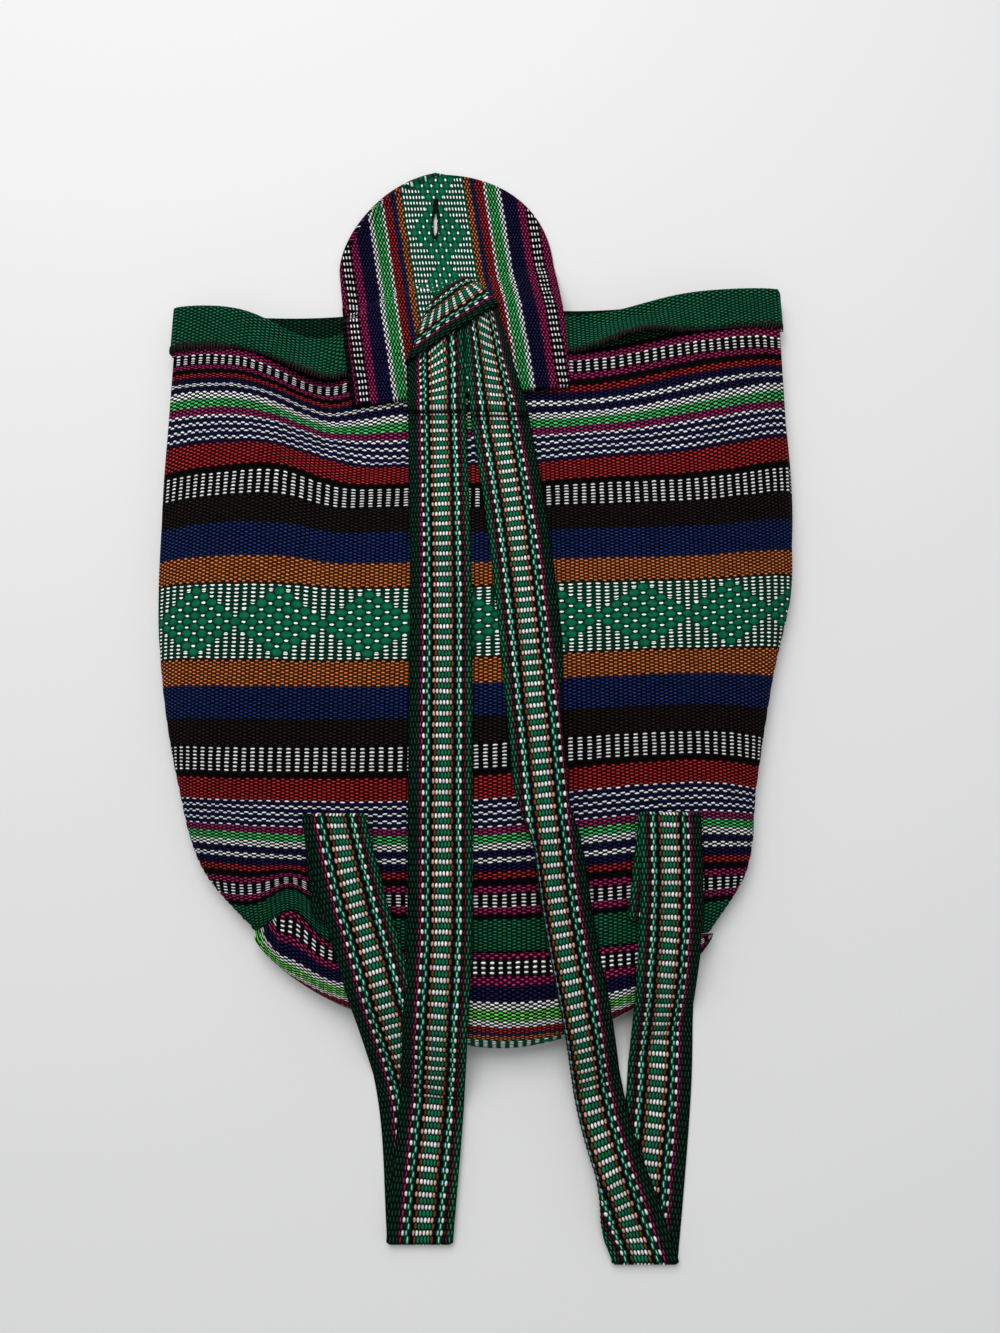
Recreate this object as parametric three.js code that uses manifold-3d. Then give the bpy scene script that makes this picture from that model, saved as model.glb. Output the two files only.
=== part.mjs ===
// A woven cotton backpack, lying flat on its front with the shoulder straps uppermost.
// Millimetres, +Z up, +Y towards the mouth. The origin is on the floor under the middle of the body.
import * as THREE from "three";
import { mergeVertices } from "three/addons/utils/BufferGeometryUtils.js";
import Module from "manifold-3d";

const wasm = await Module();
wasm.setup();

// Cloth and clearances
const CLOTH = 2;
const CLEARANCE = 0.3;
const DRAPE_CLEARANCE = 0.7;
const LAYER_CLEARANCE = 0.8;
const SEAM_GAP = 0.6;
const SIDE_INSET = 2.5;
const DRAPE_REACH = 60;
const DRAPE_STEP = 2;
const DRAPE_MARGIN = 6;
const WELD = 1e-3;

// Body: a tube of striped cloth, pressed flat. Lengths along the cloth count from the diamond stripe.
const MIDDLE_Y = -11;
const LOWER_CLOTH = 185;
const UPPER_CLOTH = 187;
const CLOTH_SPREAD = 0.0004;
const SIDE_FOLD_Z = 9;
const SIDE_FOLD_FROM = 0.62;
const SIDE_FOLD_POWER = 4;
const ARCH_POWER = 2.6;
const ARCH_ROUND = 0.6;
const CALM_POWER = 8;
const RIM_LEVEL = 7.5;
const RIM_TILT = 6.5;
const SEAM_RISE = 9;
const SEAM_RISE_REACH = 120;
const HALF_BODY = 184;
// Each dip in the rim of the upper and lower wall: depth, place across the body and reach
const RIM_DIPS = [
  [27.5, -95, 42],
  [20, 55, 70],
];
const FAR_RIM_DIPS = [
  [5, -100, 60],
  [6, 70, 60],
];
// Waves of the cuff's free edge on the upper and lower wall: rise, place across and reach
const CUFF_WAVES = [
  [-8, -78, 26],
  [6, 185, 45],
];
const FAR_CUFF_WAVES = [[6, 185, 45]];
const CUFF_WAVE_REACH = 40;
const CLOTH_AT_TRIES = 6;
// Pucker of the upper wall at the left end of the base seam: rise, place across and reach
const CORNER_PUCKER = [15, -94, 14];
const PUCKER_FROM = -130;
// Half widths to the left and right fold, and the height of the upper wall, along Y
const LEFT_EDGE = [[-185, 110], [-150, 143], [-100, 160], [-40, 173], [30, 181], [200, 185]];
const RIGHT_EDGE = [[-185, 121], [-150, 144], [-100, 152], [-40, 164], [30, 181], [200, 184]];
const CROWN = [[-185, 24], [-120, 34], [-30, 39], [60, 37], [130, 27], [187, 19]];
const CUFF = 22;
const CUFF_LIFT_REACH = 40;
const WALL_POINTS = 24;
const INSIDE_STEPS = 7;
const STRIPE_RELIEF = 0.35;
const RIDGE_FROM = 8;
// Soft waves that run across the upper wall: height, place across and reach
const WALL_WAVES = [
  [5, -128, 24],
  [-3, -88, 22],
  [3, 118, 30],
];

// Woven stripes from the middle of the diamond stripe outwards: width and colour
const STRIPES = [
  [19.6, 0x2f6b45],
  [15, 0xc9541d],
  [17.3, 0x1f2a4d],
  [15, 0x241a18],
  [15, 0x8d8a86],
  [3, 0x15110f],
  [12.5, 0xa81f26],
  [17, 0x6f7690],
  [4, 0xa3246a],
  [4.7, 0x84a86a],
  [4, 0xd9d6cf],
  [4, 0x1f2a4d],
  [3.8, 0xd9d6cf],
  [4.2, 0x1f2a4d],
  [4, 0xa81f26],
  [3.5, 0x15110f],
  [4.2, 0xd05a86],
  [8.7, 0x8d8a86],
  [4.2, 0xd05a86],
  [3, 0x15110f],
];
const HEM_COLOUR = 0x1f6a4a;

// Base: an oval of the flap's cloth, folded along its middle
const BASE_DEPTH = 46;
const BASE_POWER = 0.62;
const BASE_LEFT_SHARE = 0.82;
const BASE_SKEW_FROM = -60;
const BASE_SKEW_TO = 30;
const BASE_STEPS = 6;

// Flap, sewn to the upper wall along its foot
const FLAP_CLOTH = 2.4;
const FLAP_FOOT_LEFT = [-71, 118];
const FLAP_FOOT_RIGHT = [54, 131];
const FLAP_TIP = [-27, 294];
const FLAP_BULGE = 8;
const FLAP_ROUND_FROM = 0.6;
const FLAP_ROUND_LEFT = 1.6;
const FLAP_ROUND_RIGHT = 2.3;
const FLAP_ROWS = 16;
const FLAP_COLUMNS = 8;
const FLAP_TIP_SHARE = 0.1;
const FLAP_SLOPE = 1;
const SLIT_LENGTH = 20;
const SLIT_WIDTH = 3;
const SLIT_FROM_TIP = 36;
const SLIT_STITCH_WIDTH = 2.6;
const SLIT_STITCH_THICK = 0.9;
const SLIT_SEGMENTS = 6;

// Black overlock along the free edge of the cuff
const OVERLOCK_WIDTH = 4;
const OVERLOCK_THICK = 1.8;
const OVERLOCK_LIFT = 0.45;
const OVERLOCK_GAP = 0.9;
const OVERLOCK_SIDES = 6;

// Shoulder strap: one webbing from the base seam, over the top fold and back to the base seam
const STRAP_WIDTH = 33;
const STRAP_THICK = 2;
const STRAP_STEP = 13;
const STRAP_LEAST_STEPS = 3;
const STRAP_SLOPE = 0.6;
const CREASE_REACH = 34;
const TOP_FOLD_LIFT = 2.4;
const TOP_FOLD_STEPS = 6;
const STRAP_SETTLE = 28;
// Each side of the strap in plan. Above crossing, its main run no longer lies on the lower run.
const LEFT_SIDE = {
  seam: [-65, -166],
  upperFold: [-71, -116],
  lowerRun: [[-61, -155], [-47, -200], [-32, -256]],
  bottomFold: [-26, -320],
  mainRun: [[-21, -255], [-17, -180], [-17, -106], [-18, 10]],
  top: [-22, 112],
  crossing: -193,
};
const RIGHT_SIDE = {
  seam: [95, -166],
  upperFold: [101, -115],
  lowerRun: [[101, -160], [98, -205], [95, -250]],
  bottomFold: [85, -329],
  mainRun: [[70, -270], [60, -220], [46, -150], [35, -60], [24, 35]],
  top: [13.5, 110],
  crossing: -238,
};
// Corners of the double fold at the top, on the lower and upper edge of the crossing piece
const TOP_FOLD_LEFT_UNDER = [[-40, 142], [-8, 184]];
const TOP_FOLD_LEFT = [[-40, 142], [-26, 186]];
const TOP_FOLD_RIGHT = [[12, 181], [-9, 206]];

// Button on the front of the body, where the flap's slit reaches when the flap is closed
const BUTTON_AT = [-12, 112];
const BUTTON_DIAMETER = 22;
const BUTTON_THICK = 2.6;
const BUTTON_RIM = 3;
const BUTTON_DISH = 0.7;
const BUTTON_ROUND = 0.6;
const BUTTON_SEGMENTS = 28;
const BUTTON_HOLE = 2.4;
const HOLE_SEGMENTS = 12;
const BUTTON_HOLE_SPACING = 5;
const THREAD_THICK = 1.2;
const BUTTON_LIFT_REACH = 36;

// Colours of the other pieces
const STRIPES_AS_WOVEN = 0xffffff;
const STRAP_COLOUR = 0x39443b;
const FLAP_COLOUR = 0x5d5348;
const BASE_COLOUR = 0x56505c;
const THREAD_COLOUR = 0x141210;
const BUTTON_COLOUR = 0x6b4a2f;
const CLOTH_ROUGHNESS = 0.92;
const BUTTON_ROUGHNESS = 0.5;

const wallPoints = Math.round(WALL_POINTS);
const layerPitch = STRAP_THICK + LAYER_CLEARANCE;
const cuffThick = CLOTH + CLEARANCE;
const buttonLift = BUTTON_THICK + THREAD_THICK + 2 * CLEARANCE;

// Smooth curve through a few pairs of place and value, level beyond its ends
function through(pairs, at) {
  const last = pairs.length - 1;
  if (at <= pairs[0][0]) return pairs[0][1];
  if (at >= pairs[last][0]) return pairs[last][1];
  const i = pairs.findIndex((p) => p[0] > at) - 1;
  const slope = (k) => {
    const a = pairs[Math.max(k - 1, 0)];
    const b = pairs[Math.min(k + 1, last)];
    return (b[1] - a[1]) / (b[0] - a[0]);
  };
  const [x0, y0] = pairs[i];
  const [x1, y1] = pairs[i + 1];
  const w = x1 - x0;
  const t = (at - x0) / w;
  const t2 = t * t;
  const t3 = t2 * t;
  return (
    y0 * (2 * t3 - 3 * t2 + 1) +
    y1 * (3 * t2 - 2 * t3) +
    slope(i) * w * (t3 - 2 * t2 + t) +
    slope(i + 1) * w * (t3 - t2)
  );
}

const bell = (x, place, reach) => Math.exp(-(((x - place) / reach) ** 2));
const smooth = (a, b, x) => THREE.MathUtils.smoothstep(x, a, b);

const bells = (rows, x) =>
  rows.reduce((sum, [height, place, reach]) => sum + height * bell(x, place, reach), 0);

// How far the cloth's end lies off its level line, at the rim and at the base seam
function endWave(cloth, x, dips) {
  if (cloth < 0) return (SEAM_RISE * Math.min(x * x, HALF_BODY ** 2)) / SEAM_RISE_REACH ** 2;
  return RIM_LEVEL + (RIM_TILT * x) / HALF_BODY - bells(dips, x);
}

const clothEnd = (cloth) => (cloth < 0 ? LOWER_CLOTH : UPPER_CLOTH);
const bend = (cloth, x, dips) => CLOTH_SPREAD + endWave(cloth, x, dips) / clothEnd(cloth) ** 2;

// How far the cloth next to the cuff's free edge is drawn up or down
function cuffWave(cloth, x, waves) {
  const edge = UPPER_CLOTH - CUFF;
  const near = smooth(edge - CUFF_WAVE_REACH, edge, cloth) * (1 - smooth(edge, UPPER_CLOTH, cloth));
  return bells(waves, x) * near;
}

const lowerY = (cloth, x) =>
  MIDDLE_Y + cloth + bend(cloth, x, FAR_RIM_DIPS) * cloth * cloth + cuffWave(cloth, x, FAR_CUFF_WAVES);
const puckered = (cloth, x) => bells([CORNER_PUCKER], x) * (1 - smooth(-LOWER_CLOTH, PUCKER_FROM, cloth));
const drawnIn = (cloth, x) => puckered(cloth, x) + cuffWave(cloth, x, CUFF_WAVES);
const upperY = (cloth, x) =>
  MIDDLE_Y + cloth + bend(cloth, x, RIM_DIPS) * cloth * cloth + drawnIn(cloth, x);

// Place along the cloth of the upper wall over a point in plan
function clothAt(x, y) {
  let cloth = y - MIDDLE_Y;
  for (let i = 0; i < CLOTH_AT_TRIES; i++) {
    const smoothed = y - MIDDLE_Y - cuffWave(cloth, x, CUFF_WAVES);
    const a = bend(smoothed, x, RIM_DIPS);
    cloth = (Math.sqrt(Math.max(1 + 4 * a * smoothed, 0)) - 1) / (2 * a);
  }
  return cloth;
}

const levelY = (cloth) => MIDDLE_Y + cloth + CLOTH_SPREAD * cloth * cloth;
const sideX = (cloth, side) =>
  side < 0 ? -through(LEFT_EDGE, levelY(cloth)) : through(RIGHT_EDGE, levelY(cloth));

// Share of the way up from the flat wall to the side fold
function foldShare(across) {
  return (Math.max(Math.abs(across) - SIDE_FOLD_FROM, 0) / (1 - SIDE_FOLD_FROM)) ** SIDE_FOLD_POWER;
}

// Upper wall: a low arch between the side folds, with soft waves towards the mouth
function archShare(across) {
  return (1 - Math.abs(across) ** ARCH_POWER) ** ARCH_ROUND;
}

function upperZ(cloth, across, x) {
  const arch = (through(CROWN, levelY(cloth)) - SIDE_FOLD_Z) * archShare(across);
  const towardsMouth = smooth(0, UPPER_CLOTH, cloth);
  return SIDE_FOLD_Z + arch + bells(WALL_WAVES, x) * towardsMouth * (1 - across ** CALM_POWER);
}

// Lower wall: flat on the floor, lifted by the cuff's free edge and by the button
function lowerZ(cloth, across, x) {
  const fromButton = Math.hypot(x - BUTTON_AT[0], lowerY(cloth, x) - BUTTON_AT[1]);
  const clearOfButton = smooth(BUTTON_DIAMETER, BUTTON_DIAMETER + BUTTON_LIFT_REACH, fromButton);
  const overButton = buttonLift * (1 - clearOfButton);
  const overCuff = cuffThick * smooth(UPPER_CLOTH - CUFF - CUFF_LIFT_REACH, UPPER_CLOTH - CUFF, cloth);
  const rest = Math.max(overButton, overCuff);
  return rest + (SIDE_FOLD_Z - rest) * foldShare(across);
}

// One closed ring round the tube: along the upper wall from left to right and back along the lower wall.
// Inset moves the ring towards the inside of the cloth, and cuff adds the turned cuff outside it.
function ring(cloth, inset, cuff) {
  const points = [];
  const inwards = Math.max(inset, 0);
  const left = sideX(cloth, -1) + inwards * SIDE_INSET - cuff;
  const right = sideX(cloth, 1) - inwards * SIDE_INSET + cuff;
  for (let k = 0; k < 2 * wallPoints; k++) {
    const upper = k <= wallPoints;
    const step = (2 * k) / wallPoints;
    const across = Math.sin((Math.PI / 2) * (upper ? step - 1 : 3 - step));
    const x = across < 0 ? -across * left : across * right;
    const z = upper ? upperZ(cloth, across, x) : lowerZ(cloth, across, x);
    const out = (upper ? cuff - inset : inwards - cuff) * (1 - foldShare(across));
    const outerX = Math.abs(across) * sideX(cloth, across);
    const y = upper ? upperY(cloth, outerX) : lowerY(cloth, outerX);
    points.push(new THREE.Vector3(x, y, z + out));
  }
  return points;
}

// A closed skin over rings of equal length. Its ends join in a loop, are capped by a strip
// between the two faces of a sheet, or need nothing where the end rings are pinched shut.
function skin(rings, ends, colours) {
  const n = rings[0].length;
  const corners = [];
  const paint = [];
  const add = (a, b, c, colour) => {
    corners.push(...a.toArray(), ...b.toArray(), ...c.toArray());
    for (let k = 0; k < 3; k++) paint.push(...colour.toArray());
  };
  const count = ends === "loop" ? rings.length : rings.length - 1;
  for (let i = 0; i < count; i++) {
    const lower = rings[i];
    const upper = rings[(i + 1) % rings.length];
    const colour = colours ? colours[i] : new THREE.Color(1, 1, 1);
    for (let k = 0; k < n; k++) {
      const m = (k + 1) % n;
      add(lower[k], lower[m], upper[m], colour);
      add(lower[k], upper[m], upper[k], colour);
    }
  }
  if (ends === "strip") {
    const white = new THREE.Color(1, 1, 1);
    const first = rings[0];
    const last = rings[rings.length - 1];
    for (let k = 0; k < n / 2 - 1; k++) {
      add(first[k], first[n - 1 - k], first[k + 1], white);
      add(first[k + 1], first[n - 1 - k], first[n - 2 - k], white);
      add(last[k], last[k + 1], last[n - 1 - k], white);
      add(last[k + 1], last[n - 2 - k], last[n - 1 - k], white);
    }
  }
  return facing(corners, colours ? paint : null);
}

// Turns a list of triangle corners into a geometry whose faces point out
function facing(corners, paint) {
  let volume = 0;
  const p = (i) => new THREE.Vector3().fromArray(corners, i);
  for (let i = 0; i < corners.length; i += 9) volume += p(i).dot(p(i + 3).cross(p(i + 6)));
  if (volume < 0) {
    for (let i = 0; i < corners.length; i += 9) {
      const second = corners.slice(i + 3, i + 6);
      for (let k = 0; k < 3; k++) {
        corners[i + 3 + k] = corners[i + 6 + k];
        corners[i + 6 + k] = second[k];
      }
    }
  }
  const geometry = new THREE.BufferGeometry();
  geometry.setAttribute("position", new THREE.Float32BufferAttribute(corners, 3));
  if (paint) geometry.setAttribute("color", new THREE.Float32BufferAttribute(paint, 3));
  const whole = mergeVertices(withoutSlivers(geometry), WELD);
  whole.computeVertexNormals();
  return whole;
}

// Leaves out triangles that a pinched ring has closed up
function withoutSlivers(geometry) {
  const kept = new THREE.BufferGeometry();
  const position = geometry.getAttribute("position");
  const point = (i) => new THREE.Vector3().fromBufferAttribute(position, i);
  const whole = [];
  for (let i = 0; i < position.count; i += 3) {
    const [a, b, c] = [point(i), point(i + 1), point(i + 2)];
    if (!a.equals(b) && !b.equals(c) && !a.equals(c)) whole.push(i, i + 1, i + 2);
  }
  for (const [name, attribute] of Object.entries(geometry.attributes)) {
    const values = whole.flatMap((i) => [attribute.getX(i), attribute.getY(i), attribute.getZ(i)]);
    kept.setAttribute(name, new THREE.Float32BufferAttribute(values, 3));
  }
  return kept;
}

function mesh(name, geometry, colour, roughness = CLOTH_ROUGHNESS) {
  const vertexColors = Boolean(geometry.getAttribute("color"));
  const material = new THREE.MeshStandardMaterial({ color: colour, roughness, metalness: 0, vertexColors });
  const made = new THREE.Mesh(geometry, material);
  made.name = name;
  return made;
}

// Edges of the stripes along the cloth, from the base seam to the cuff, each with the colour above it
function stripeEdges() {
  const upward = [];
  let at = 0;
  for (const [width, colour] of STRIPES) {
    upward.push({ from: at, to: at + width, colour });
    at += width;
  }
  const lower = upward.map((s) => ({ from: -s.to, to: -s.from, colour: s.colour })).reverse();
  const cuffEdge = UPPER_CLOTH - CUFF;
  const all = [{ from: -LOWER_CLOTH, to: -at, colour: HEM_COLOUR }, ...lower, ...upward];
  return all.filter((s) => s.from < cuffEdge).map((s) => ({ ...s, to: Math.min(s.to, cuffEdge) }));
}

// Body: each woven stripe stands as a low ridge, and the cuff is turned outwards round the mouth
function body() {
  const rings = [];
  const colours = [];
  const place = (cloth, inset, cuff, colour) => {
    rings.push(ring(cloth, inset, cuff));
    colours.push(new THREE.Color(colour));
  };
  const stripes = stripeEdges();
  stripes.forEach((s) => {
    place(s.from, 0, 0, s.colour);
    if (s.to - s.from > RIDGE_FROM) place((s.from + s.to) / 2, -STRIPE_RELIEF, 0, s.colour);
  });
  const cuffEdge = UPPER_CLOTH - CUFF;
  place(cuffEdge, 0, 0, HEM_COLOUR);
  place(cuffEdge, 0, cuffThick, HEM_COLOUR);
  place(cuffEdge + CUFF / 2, 0, cuffThick, HEM_COLOUR);
  place(UPPER_CLOTH, 0, cuffThick, HEM_COLOUR);
  for (let k = INSIDE_STEPS; k >= 0; k--) {
    const cloth = -LOWER_CLOTH + ((UPPER_CLOTH + LOWER_CLOTH) * k) / INSIDE_STEPS;
    place(cloth, CLOTH, 0, HEM_COLOUR);
  }
  return skin(rings, "loop", colours);
}

// Base: rings that close from the body's seam to the fold along the middle of the oval
function baseRing(turn, inset) {
  const seam = ring(-LOWER_CLOTH, inset, 0);
  return seam.map((p, k) => {
    const opposite = seam[(2 * wallPoints - k) % (2 * wallPoints)];
    const middle = (p.z + opposite.z) / 2;
    const angle = (Math.PI / 2) * turn;
    const outline = lowerY(-LOWER_CLOTH, p.x) - baseDepth(p.x, inset);
    const y = p.y + (outline - p.y) * Math.sin(angle) - SEAM_GAP;
    return new THREE.Vector3(p.x, y, middle + (p.z - middle) * Math.cos(angle));
  });
}

function baseDepth(x, inset) {
  const reach = sideX(-LOWER_CLOTH, Math.sign(x) || 1);
  const share = Math.max(1 - (x / reach) ** 2, 0);
  const skew = BASE_LEFT_SHARE + (1 - BASE_LEFT_SHARE) * smooth(BASE_SKEW_FROM, BASE_SKEW_TO, x);
  return (BASE_DEPTH - inset) * skew * share ** BASE_POWER;
}

function basePanel() {
  const rings = [];
  const turns = Array.from({ length: BASE_STEPS + 1 }, (_, k) => k / BASE_STEPS);
  turns.toReversed().forEach((turn) => rings.push(baseRing(turn, 0)));
  turns.forEach((turn) => rings.push(baseRing(turn, CLOTH)));
  return skin(rings, "pinched", null);
}

// Height of what lies under the straps and the flap at a place on the floor plan
function support(x, y) {
  const cloth = clothAt(x, y);
  const side = sideX(Math.max(Math.min(cloth, UPPER_CLOTH), -LOWER_CLOTH), Math.sign(x) || 1);
  const across = Math.abs(x / side);
  if (across >= 1) return 0;
  if (cloth > UPPER_CLOTH) return y < lowerY(UPPER_CLOTH, x) ? lowerZ(UPPER_CLOTH, across, x) + CLOTH : 0;
  if (cloth >= -LOWER_CLOTH) {
    return upperZ(cloth, across, x) + (cloth > UPPER_CLOTH - CUFF - OVERLOCK_WIDTH ? cuffThick : 0);
  }
  const seamY = upperY(-LOWER_CLOTH, x);
  const share = Math.max(seamY - y, 0) / (seamY - lowerY(-LOWER_CLOTH, x) + baseDepth(x, 0));
  if (!(share < 1)) return 0;
  const top = upperZ(-LOWER_CLOTH, across, x);
  const middle = (top + lowerZ(-LOWER_CLOTH, across, x)) / 2;
  return middle + (top - middle) * Math.sqrt(1 - share * share);
}

// Cloth that lies over a support stays level a little past its edge, then falls at the given slope
function draped(x, y, slope) {
  let height = 0;
  for (let off = -DRAPE_REACH; off <= DRAPE_REACH; off += DRAPE_STEP) {
    const fall = slope * Math.max(Math.abs(off) - DRAPE_MARGIN, 0);
    height = Math.max(height, support(x, y + off) - fall);
  }
  return height;
}

// A ribbon from rulings of three points across, with its thickness along the normal
function ribbon(rulings, thick) {
  const rings = rulings.map((points, i) => {
    const before = rulings[Math.max(i - 1, 0)][1];
    const after = rulings[Math.min(i + 1, rulings.length - 1)][1];
    const along = after.clone().sub(before);
    const across = points[2].clone().sub(points[0]);
    const normal = across.cross(along).normalize().multiplyScalar(thick / 2);
    const top = points.map((p) => p.clone().add(normal));
    const under = points.map((p) => p.clone().sub(normal)).reverse();
    return [...top, ...under];
  });
  return skin(rings, "strip", null);
}

// Rulings of one straight run of the strap. lift(y) raises it over the layers below it.
function run(plan, startAcross, endAcross, lift) {
  const curve = new THREE.CatmullRomCurve3(plan.map(([x, y]) => new THREE.Vector3(x, y, 0)));
  const length = curve.getLength();
  const steps = Math.max(Math.round(length / STRAP_STEP), STRAP_LEAST_STEPS);
  const rulings = [];
  for (let k = 0; k <= steps; k++) {
    const u = k / steps;
    const centre = curve.getPointAt(u);
    const along = curve.getTangentAt(u);
    const across = new THREE.Vector3(along.y, -along.x, 0);
    const nearStart = 1 - smooth(0, CREASE_REACH, u * length);
    const nearEnd = 1 - smooth(0, CREASE_REACH, (1 - u) * length);
    if (startAcross) across.lerp(startAcross, nearStart);
    if (endAcross) across.lerp(endAcross, nearEnd);
    across.normalize().multiplyScalar(STRAP_WIDTH / 2);
    rulings.push([-1, 0, 1].map((side) => lay(centre.clone().addScaledVector(across, side), lift)));
  }
  return rulings;
}

function lay(point, lift) {
  const under = draped(point.x, point.y, STRAP_SLOPE);
  const clear = under > 0 ? DRAPE_CLEARANCE : 0;
  point.z = under + clear + STRAP_THICK / 2 + lift(point.y, point.x);
  return point;
}

// The half turn between two runs that share a crease, bulging away from both
function halfTurn(last, next, outward) {
  return [Math.PI / 4, Math.PI / 2, (3 * Math.PI) / 4].map((angle) =>
    last.map((p, k) => {
      const q = next[k];
      const radius = Math.abs(q.z - p.z) / 2;
      const middle = (p.z + q.z) / 2;
      const made = p.clone().lerp(q, angle / Math.PI).addScaledVector(outward, radius * Math.sin(angle));
      made.z = middle + (p.z - middle) * Math.cos(angle);
      return made;
    }),
  );
}

// One side of the strap, from the base seam to the stitching at the top.
// The first layer lies on the body, folds over, runs down to the floor, folds again and climbs on top.
function strapSide({ seam, upperFold, lowerRun, bottomFold, mainRun, top, crossing }) {
  const level = new THREE.Vector3(1, 0, 0);
  const flip = level.clone().negate();
  const settled = seam[1] - STRAP_SETTLE;
  const first = run([seam, upperFold], level, level, () => 0);
  const settle = (y) => layerPitch * smooth(settled - STRAP_SETTLE, settled, y);
  const lower = run([upperFold, ...lowerRun, bottomFold], flip, flip, settle);
  const over = (y) => layerPitch * (1 - smooth(crossing, crossing + STRAP_SETTLE, y));
  const main = run([bottomFold, ...mainRun, top], level, level, over);
  const flipped = lower.map((ruling) => ruling.toReversed());
  const up = new THREE.Vector3(0, 1, 0);
  return [
    ...first,
    ...halfTurn(first[first.length - 1], flipped[0], up),
    ...flipped,
    ...halfTurn(flipped[flipped.length - 1], main[0], up.clone().negate()),
    ...main,
  ];
}

// Direction in the plan to the left of a crease
function squareTo([from, to]) {
  return new THREE.Vector3(from[1] - to[1], to[0] - from[0], 0).normalize();
}

// The double fold at the top: up to the left crease, across, and down from the right crease
function topFold(leftTop, rightTop) {
  const overFlap = FLAP_CLOTH + DRAPE_CLEARANCE + TOP_FOLD_LIFT + STRAP_THICK / 2;
  const height = (x, y) => draped(x, y, STRAP_SLOPE) + overFlap;
  const ruling = ([a, b], lift) =>
    [0, 0.5, 1].map((t) => {
      const x = a[0] + (b[0] - a[0]) * t;
      const y = a[1] + (b[1] - a[1]) * t;
      return new THREE.Vector3(x, y, height(x, y) + lift);
    });
  const between = (from, to, count) =>
    Array.from({ length: count }, (_, k) => from.map((p, i) => p.clone().lerp(to[i], (k + 1) / (count + 1))));
  const raise = (made, lift) =>
    made.map((ruled) => ruled.map((p) => p.setZ(Math.max(p.z, height(p.x, p.y) + lift))));
  const leftLow = ruling(TOP_FOLD_LEFT_UNDER, 0);
  const leftHigh = ruling(TOP_FOLD_LEFT, layerPitch);
  const rightHigh = ruling(TOP_FOLD_RIGHT, layerPitch);
  const rightLow = ruling(TOP_FOLD_RIGHT, 0);
  const awayLeft = squareTo(TOP_FOLD_LEFT);
  const awayRight = squareTo(TOP_FOLD_RIGHT).negate();
  return [
    ...raise(between(leftTop, leftLow, TOP_FOLD_STEPS), 0),
    leftLow,
    ...halfTurn(leftLow, leftHigh, awayLeft),
    leftHigh,
    ...raise(between(leftHigh, rightHigh, TOP_FOLD_STEPS), layerPitch),
    rightHigh,
    ...halfTurn(rightHigh, rightLow, awayRight),
    rightLow,
    ...raise(between(rightLow, rightTop, TOP_FOLD_STEPS), 0),
  ];
}

function shoulderStrap() {
  const left = strapSide(LEFT_SIDE);
  const right = strapSide(RIGHT_SIDE);
  const downwards = right.toReversed().map((ruling) => ruling.toReversed());
  const top = topFold(left[left.length - 1], downwards[0]);
  return ribbon([...left, ...top, ...downwards], STRAP_THICK);
}

// Flap: straight sides that bow out a little, a round end, and a slit for the button near the end
function flapAxis(share) {
  const foot = new THREE.Vector2(...FLAP_FOOT_LEFT).lerp(new THREE.Vector2(...FLAP_FOOT_RIGHT), 0.5);
  return foot.lerp(new THREE.Vector2(...FLAP_TIP), share);
}

function flapHalfWidth(share, power) {
  const foot = (FLAP_FOOT_RIGHT[0] - FLAP_FOOT_LEFT[0]) / 2;
  const straight = foot + (FLAP_BULGE / 2) * Math.sin((Math.PI / 2) * Math.min(share / FLAP_ROUND_FROM, 1));
  const round = Math.max(share - FLAP_ROUND_FROM, 0) / (1 - FLAP_ROUND_FROM);
  return straight * Math.max((1 - round ** power) ** (1 / power), FLAP_TIP_SHARE);
}

function flapPoint(share, across) {
  const axis = flapAxis(share);
  const footSlope = (FLAP_FOOT_RIGHT[1] - FLAP_FOOT_LEFT[1]) / (FLAP_FOOT_RIGHT[0] - FLAP_FOOT_LEFT[0]);
  const aside = across * flapHalfWidth(share, across < 0 ? FLAP_ROUND_LEFT : FLAP_ROUND_RIGHT);
  const x = axis.x + aside;
  const y = axis.y + aside * footSlope * (1 - share);
  const under = draped(x, y, FLAP_SLOPE);
  return new THREE.Vector3(x, y, under + (under > 0 ? DRAPE_CLEARANCE : 0));
}

function flapCloth() {
  const rings = [];
  for (let j = 0; j <= FLAP_ROWS; j++) {
    const share = j / FLAP_ROWS;
    const columns = Array.from({ length: FLAP_COLUMNS + 1 }, (_, i) => (2 * i) / FLAP_COLUMNS - 1);
    const under = columns.map((across) => flapPoint(share, across));
    const over = under.map((p) => new THREE.Vector3(p.x, p.y, p.z + FLAP_CLOTH)).reverse();
    rings.push([...under, ...over]);
  }
  return skin(rings, "strip", null);
}

const slitCentre = new THREE.Vector2(FLAP_TIP[0], FLAP_TIP[1] - SLIT_FROM_TIP);

function slotShape(length, width) {
  const half = (length - width) / 2;
  const shape = new THREE.Shape();
  shape.absarc(0, half, width / 2, 0, Math.PI, false);
  shape.absarc(0, -half, width / 2, Math.PI, 2 * Math.PI, false);
  shape.closePath();
  return shape;
}

function flap() {
  const cutter = new THREE.ExtrudeGeometry(slotShape(SLIT_LENGTH, SLIT_WIDTH), {
    depth: 5 * FLAP_CLOTH,
    bevelEnabled: false,
    curveSegments: SLIT_SEGMENTS,
  });
  cutter.translate(slitCentre.x, slitCentre.y, -2 * FLAP_CLOTH);
  return fromSolid(solid(flapCloth()).subtract(solid(cutter)));
}

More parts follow.
